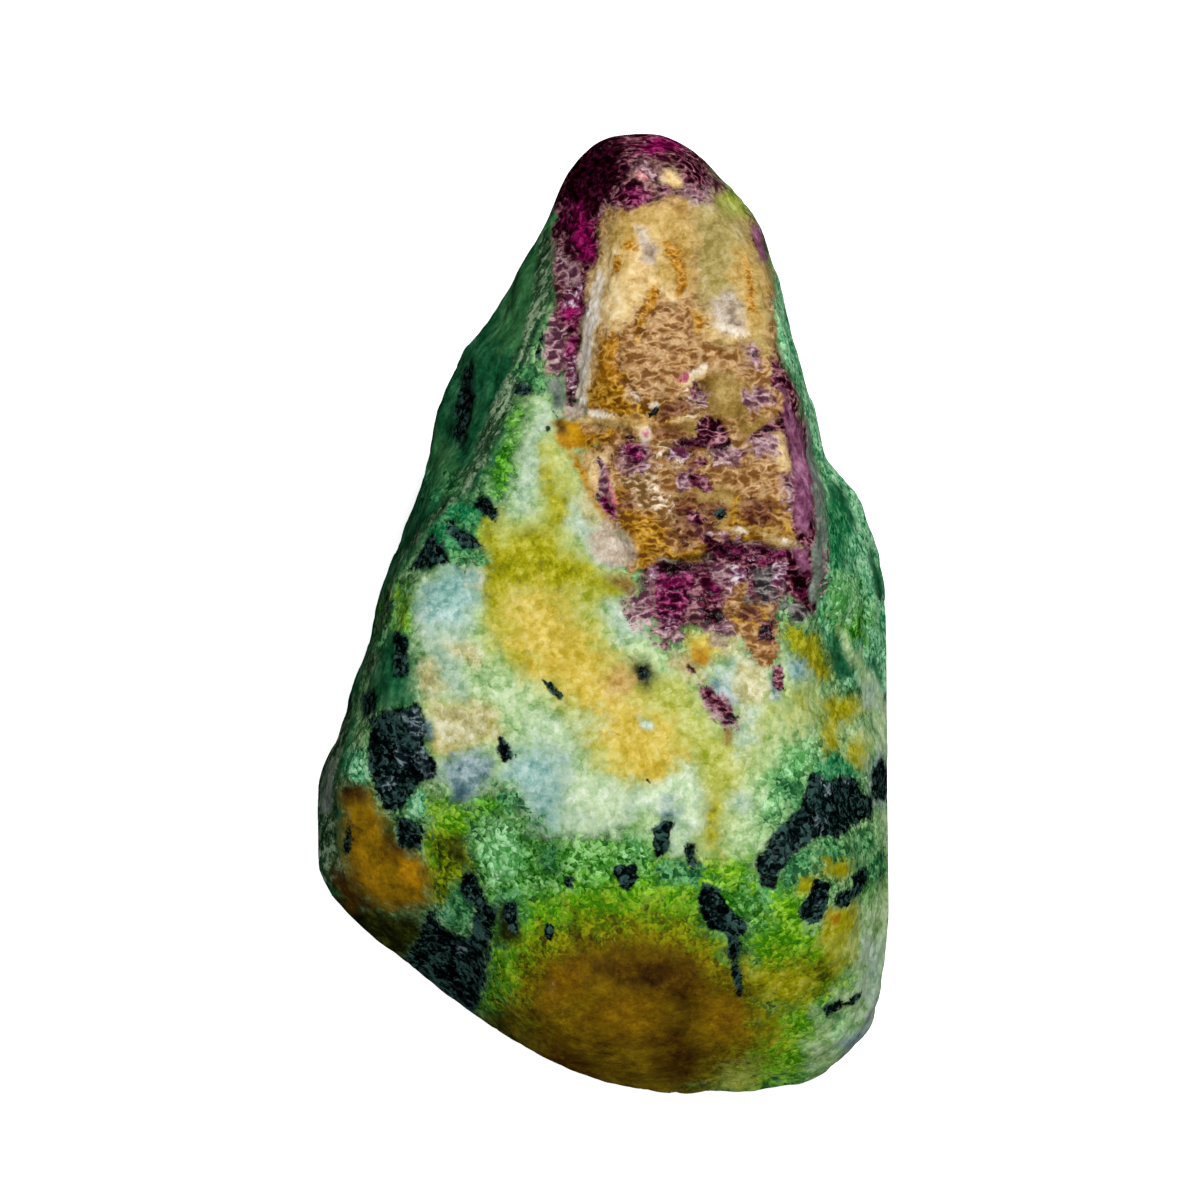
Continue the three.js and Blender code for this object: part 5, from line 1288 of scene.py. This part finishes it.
rockFinish = {
    "groundTones": [srgb(36, 84, 40), srgb(92, 144, 84), srgb(154, 196, 134)],
    "toneStops": [0.37, 0.5, 0.63],  # where a pattern is dark, middle and light
    "crispWeights": [0.6, 0.25, 0.15],
    "softWeights": [0.5, 0.47, 0.03],
    "sugaryWeights": [0.55, 0.25, 0.2],
    "scalyWeights": [0.4, 0.44, 0.1, 0.06],
    "streakyWeights": [0.8, 0.1, 0.1],
    "cloudyWeights": [0.6, 0.35, 0.05],
    "milkyWeights": [0.42, 0.44, 0.1, 0.04],
    "fineCloud": (0.6, 3, 0.7),
    "broadCloud": (1.8, 4, 0.65),
    "driftCloud": (1.1, 4, 0.65),
    "bendCloud": (0.8, 2, 0.6),
    "bend": 0.6,  # how far that cloud bends the crystals
    "streakCloud": (1, 4, 0.65),
    "streakTurn": -27,  # the fibres of the left flank run with its edge
    "streakScale": (0.35, 2.5, 1.2),  # size of one fibre in millimetres
    "rippleCloud": (1, 1, 0.5),
    "rippleScale": (1.1, 2.1, 1.6),  # waves of the stained ruby, by the millimetre
    "rippleCrest": 3.4,
    "rippleMean": 0.44,
    "grainSize": 0.34,
    "sugarSize": 0.16,
    "scaleSize": 0.45,
    "scaleFlattened": 0.6,
    "grainStrength": 0.12,
    "seamStart": 0.35,
    "seamEnd": 0.75,
    "seamShade": 0.2,
    "hollowStart": 0.2,
    "hollowShade": 0.55,
    "sugarHeight": 0.5,
    "plateHeight": 2.2,
    "plateSugarHeight": 0.3,
    "bumpHeight": 0.07,
    "specular": 0.1,
}


def makeRock(rules):
    rock = bpy.data.materials.new("rubyInZoisite")
    rock.use_nodes = True
    tree = rock.node_tree
    tree.nodes.clear()
    centre = 0.5  # every pattern is centred on this

    def fill(socket, value):
        if isinstance(value, bpy.types.NodeSocket):
            tree.links.new(value, socket)
        else:
            socket.default_value = value

    def add(kind, settings=None, inputs=None):
        made = tree.nodes.new("ShaderNode" + kind)
        for name, value in (settings or {}).items():
            setattr(made, name, value)
        for socket, value in (inputs or {}).items():
            fill(made.inputs[socket], value)
        return made

    def attribute(name, output="Fac"):
        return add("Attribute", {"attribute_name": name}).outputs[output]

    def math2(operation, first, second):
        return add("Math", {"operation": operation}, {0: first, 1: second}).outputs[0]

    def math3(operation, first, second, third):
        return add("Math", {"operation": operation}, {0: first, 1: second, 2: third}).outputs[0]

    def ranged(value, low, high, start=0.0, end=1.0, kind="LINEAR"):
        return add("MapRange", {"interpolation_type": kind}, {
            "Value": value, "From Min": low, "From Max": high, "To Min": start, "To Max": end}).outputs[0]

    def ramp(value, tones):
        made = add("ValToRGB", None, {"Fac": value})
        points = made.color_ramp.elements
        points.new(rules["toneStops"][1])
        for point, stop, tone in zip(points, rules["toneStops"], tones):
            point.position = stop
            point.color = tone
        return made.outputs["Color"]

    def mixed(first, second, share, kind="RGBA", blend="MIX"):
        made = add("Mix", {"data_type": kind, "clamp_factor": True})
        if kind == "RGBA":
            made.blend_type = blend
        sockets = [s for s in made.inputs if s.enabled]
        for socket, value in zip(sockets, (share, first, second)):
            fill(socket, value)
        return [s for s in made.outputs if s.enabled][0]

    def cloud(vector, size, detail, roughness):
        return add("TexNoise", None, {"Vector": vector, "Scale": 1 / size, "Detail": detail,
                                      "Roughness": roughness}).outputs["Color"]

    def channels(colour):
        return list(add("SeparateColor", None, {"Color": colour}).outputs)

    place = add("TexCoord").outputs["Object"]
    perMillimetre = (1 / millimetre,) * 3
    inMillimetres = add("Mapping", None, {"Vector": place, "Scale": perMillimetre}).outputs["Vector"]

    # crystals of two sizes, bent by a cloud, and flat scales for the stained ruby
    bend = cloud(inMillimetres, *rules["bendCloud"])
    bent = add("VectorMath", {"operation": "MULTIPLY_ADD"}, {
        0: bend, 1: (rules["bend"],) * 3, 2: inMillimetres}).outputs[0]

    def crystals(size, flattened=1.0):
        where = bent
        if flattened != 1.0:
            where = add("Mapping", None, {"Vector": bent, "Scale": (flattened, 1, 1)}).outputs[0]
        made = add("TexVoronoi", {"feature": "F1"}, {"Vector": where, "Scale": 1 / size, "Randomness": 1})
        return made.outputs["Distance"], channels(made.outputs["Color"])

    grainAway, grains = crystals(rules["grainSize"])
    sugarAway, sugar = crystals(rules["sugarSize"])
    scaleAway, scales = crystals(rules["scaleSize"], rules["scaleFlattened"])

    def layered(parts, weights):
        made = []
        for channel in range(3):
            field = math2("MULTIPLY", parts[0][channel], weights[0])
            for part, weight in zip(parts[1:], weights[1:]):
                field = math3("MULTIPLY_ADD", part[channel], weight, field)
            made.append(field)
        return made

    along = add("Mapping", {"vector_type": "TEXTURE"}, {
        "Vector": bent, "Rotation": (0, 0, math.radians(rules["streakTurn"])), "Scale": rules["streakScale"]})
    streaks = channels(cloud(along.outputs[0], *rules["streakCloud"]))
    across = add("Mapping", None, {"Vector": bent, "Scale": rules["rippleScale"]})
    crest = rules["rippleCrest"]
    trough = centre - rules["rippleMean"] * crest
    ripples = [math3("MULTIPLY_ADD", math2("PINGPONG", part, centre), crest, trough)
               for part in channels(cloud(across.outputs[0], *rules["rippleCloud"]))]
    fine = channels(cloud(inMillimetres, *rules["fineCloud"]))
    broad = channels(cloud(inMillimetres, *rules["broadCloud"]))
    drift = channels(cloud(inMillimetres, *rules["driftCloud"]))
    fields = {
        "sugary": layered([broad, grains, sugar], rules["sugaryWeights"]),
        "scaly": layered([fine, ripples, scales, sugar], rules["scalyWeights"]),
        "streaky": layered([streaks, grains, sugar], rules["streakyWeights"]),
        "cloudy": layered([broad, fine, sugar], rules["cloudyWeights"]),
        "milky": layered([broad, fine, grains, sugar], rules["milkyWeights"]),
    }

    # colours are laid over each other mineral by mineral, in the order of the list
    crispEdges = layered([drift, grains, sugar], rules["crispWeights"])
    softEdges = layered([drift, fine, sugar], rules["softWeights"])
    colour = ramp(fields["sugary"][0], rules["groundTones"])
    for count, mineral in enumerate(minerals.values()):
        # an edge and its tones follow different channels, so that they don't line up
        turn, following = count % together, (count + 1) % together
        if turn == 0:
            laid = add("SeparateXYZ", None, {0: attribute(f"minerals{count}", "Vector")}).outputs
        edges = crispEdges if mineral["field"] in ("sugary", "scaly") else softEdges
        eaten = math3("MULTIPLY_ADD", edges[turn], mineral["ragged"], laid[turn])
        middle, width = centre * mineral["ragged"], mineral["edge"]
        mask = ranged(eaten, middle - width, middle + width, kind="SMOOTHSTEP")
        colour = mixed(colour, ramp(fields[mineral["field"]][following], mineral["tones"]), mask)

    # shade in the seams between crystals and in the carved hollows
    scaly, grainy, hollow = attribute("scaly"), attribute("grainy"), attribute("hollow")
    seam = mixed(grainAway, scaleAway, scaly, "FLOAT")
    shade = ranged(seam, rules["seamStart"], rules["seamEnd"], 1, 1 - rules["seamShade"])
    strength = rules["grainStrength"]
    for speck in (grains[2], sugar[1]):
        shade = math2("MULTIPLY", shade, ranged(speck, 0, 1, 1 - strength, 1 + strength))
    shade = mixed(1.0, shade, grainy, "FLOAT")
    shade = math2("MULTIPLY", shade, ranged(hollow, rules["hollowStart"], 1, 1, 1 - rules["hollowShade"]))
    grey = add("CombineColor", None, {0: shade, 1: shade, 2: shade}).outputs[0]
    colour = mixed(colour, grey, 1.0, blend="MULTIPLY")

    sugarKnobs = math2("MULTIPLY", sugarAway, -rules["sugarHeight"])
    knobs = math3("MULTIPLY_ADD", grainAway, -1.0, sugarKnobs)
    sugarPlates = math2("MULTIPLY", sugarAway, -rules["plateSugarHeight"])
    plates = math3("MULTIPLY_ADD", scaleAway, -rules["plateHeight"], sugarPlates)
    height = math2("MULTIPLY", mixed(knobs, plates, scaly, "FLOAT"), grainy)
    bump = add("Bump", None, {
        "Height": height, "Strength": 1.0, "Distance": rules["bumpHeight"] * millimetre})
    shader = add("BsdfPrincipled", None, {
        "Base Color": colour, "Roughness": attribute("rough"), "Normal": bump.outputs[0],
        "Specular IOR Level": rules["specular"]})
    add("OutputMaterial", None, {"Surface": shader.outputs[0]})
    return rock


stone = makeStone(stoneRules)
print("stone meshed:", len(stone.data.vertices), "points,", len(stone.data.polygons), "faces")
carveStone(stone, stoneRules, mineralShares(stone, stoneRules))
print("relief carved")
paintMinerals(stone, stoneRules)
print("minerals laid out:", len(minerals))
stone.data.materials.clear()
stone.data.materials.append(makeRock(rockFinish))
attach(stone, "root")
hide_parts(stoneRules["node"])
print("stone finished")


# Floor, lights and camera

studio = {
    "floorSize": 4.0,
    "floorColour": srgb(250, 250, 250),
    "floorRoughness": 0.9,
    "floorSpecular": 0.1,
    "floorGlow": 0.66,  # keeps the soft shadow pale
    "worldColour": srgb(240, 244, 250),
    "worldStrength": 0.23,
    "lights": [
        # name, place in millimetres, size, power, whether it gives highlights
        ("keyLight", (110, 230, 330), 160, 1.6, True),
        ("fillLight", (-60, -280, 260), 260, 0.6, False),
    ],
    "viewCentre": (-0.17, 0.81, 11),  # millimetres
    "viewWidth": 69.77,
    "cameraHeight": 450,
    "sensor": 36,
    "sightRange": (0.01, 10),  # metres
}


def makeStudio(rules):
    bpy.ops.mesh.primitive_plane_add(size=rules["floorSize"], location=(0, 0, 0))
    floor = bpy.context.object
    floor.name = "paleFloor"
    paint = bpy.data.materials.new("paleFloorPaint")
    paint.use_nodes = True
    shader = paint.node_tree.nodes["Principled BSDF"]
    shader.inputs["Base Color"].default_value = rules["floorColour"]
    shader.inputs["Roughness"].default_value = rules["floorRoughness"]
    shader.inputs["Specular IOR Level"].default_value = rules["floorSpecular"]
    shader.inputs["Emission Color"].default_value = rules["floorColour"]
    shader.inputs["Emission Strength"].default_value = rules["floorGlow"]
    floor.data.materials.append(paint)
    # the pale floor would put a grey haze and a bright rim on the steep sides
    floor.visible_glossy = False
    floor.visible_diffuse = False

    centre = Vector(rules["viewCentre"]) * millimetre
    for name, where, size, power, highlights in rules["lights"]:
        bpy.ops.object.light_add(type="AREA", location=Vector(where) * millimetre)
        light = bpy.context.object
        light.name = name
        light.data.shape = "DISK"
        light.data.size = size * millimetre
        light.data.energy = power
        light.visible_glossy = highlights
        light.rotation_euler = (light.location - centre).to_track_quat("Z", "Y").to_euler()

    world = bpy.data.worlds.new("softRoom")
    scene.world = world
    world.use_nodes = True
    background = world.node_tree.nodes["Background"]
    background.inputs["Color"].default_value = rules["worldColour"]
    background.inputs["Strength"].default_value = rules["worldStrength"]
    world.cycles_visibility.glossy = False  # the room gives soft light but no haze on the dark minerals

    height = rules["cameraHeight"]
    bpy.ops.object.camera_add(location=centre + Vector((0, 0, height * millimetre)), rotation=(0, 0, 0))
    camera = bpy.context.object
    camera.name = "overheadCamera"
    camera.data.sensor_width = rules["sensor"]
    camera.data.lens = rules["sensor"] * height / rules["viewWidth"]
    camera.data.clip_start, camera.data.clip_end = rules["sightRange"]
    scene.camera = camera
    scene.view_settings.view_transform = "Standard"


makeStudio(studio)
print("studio set")
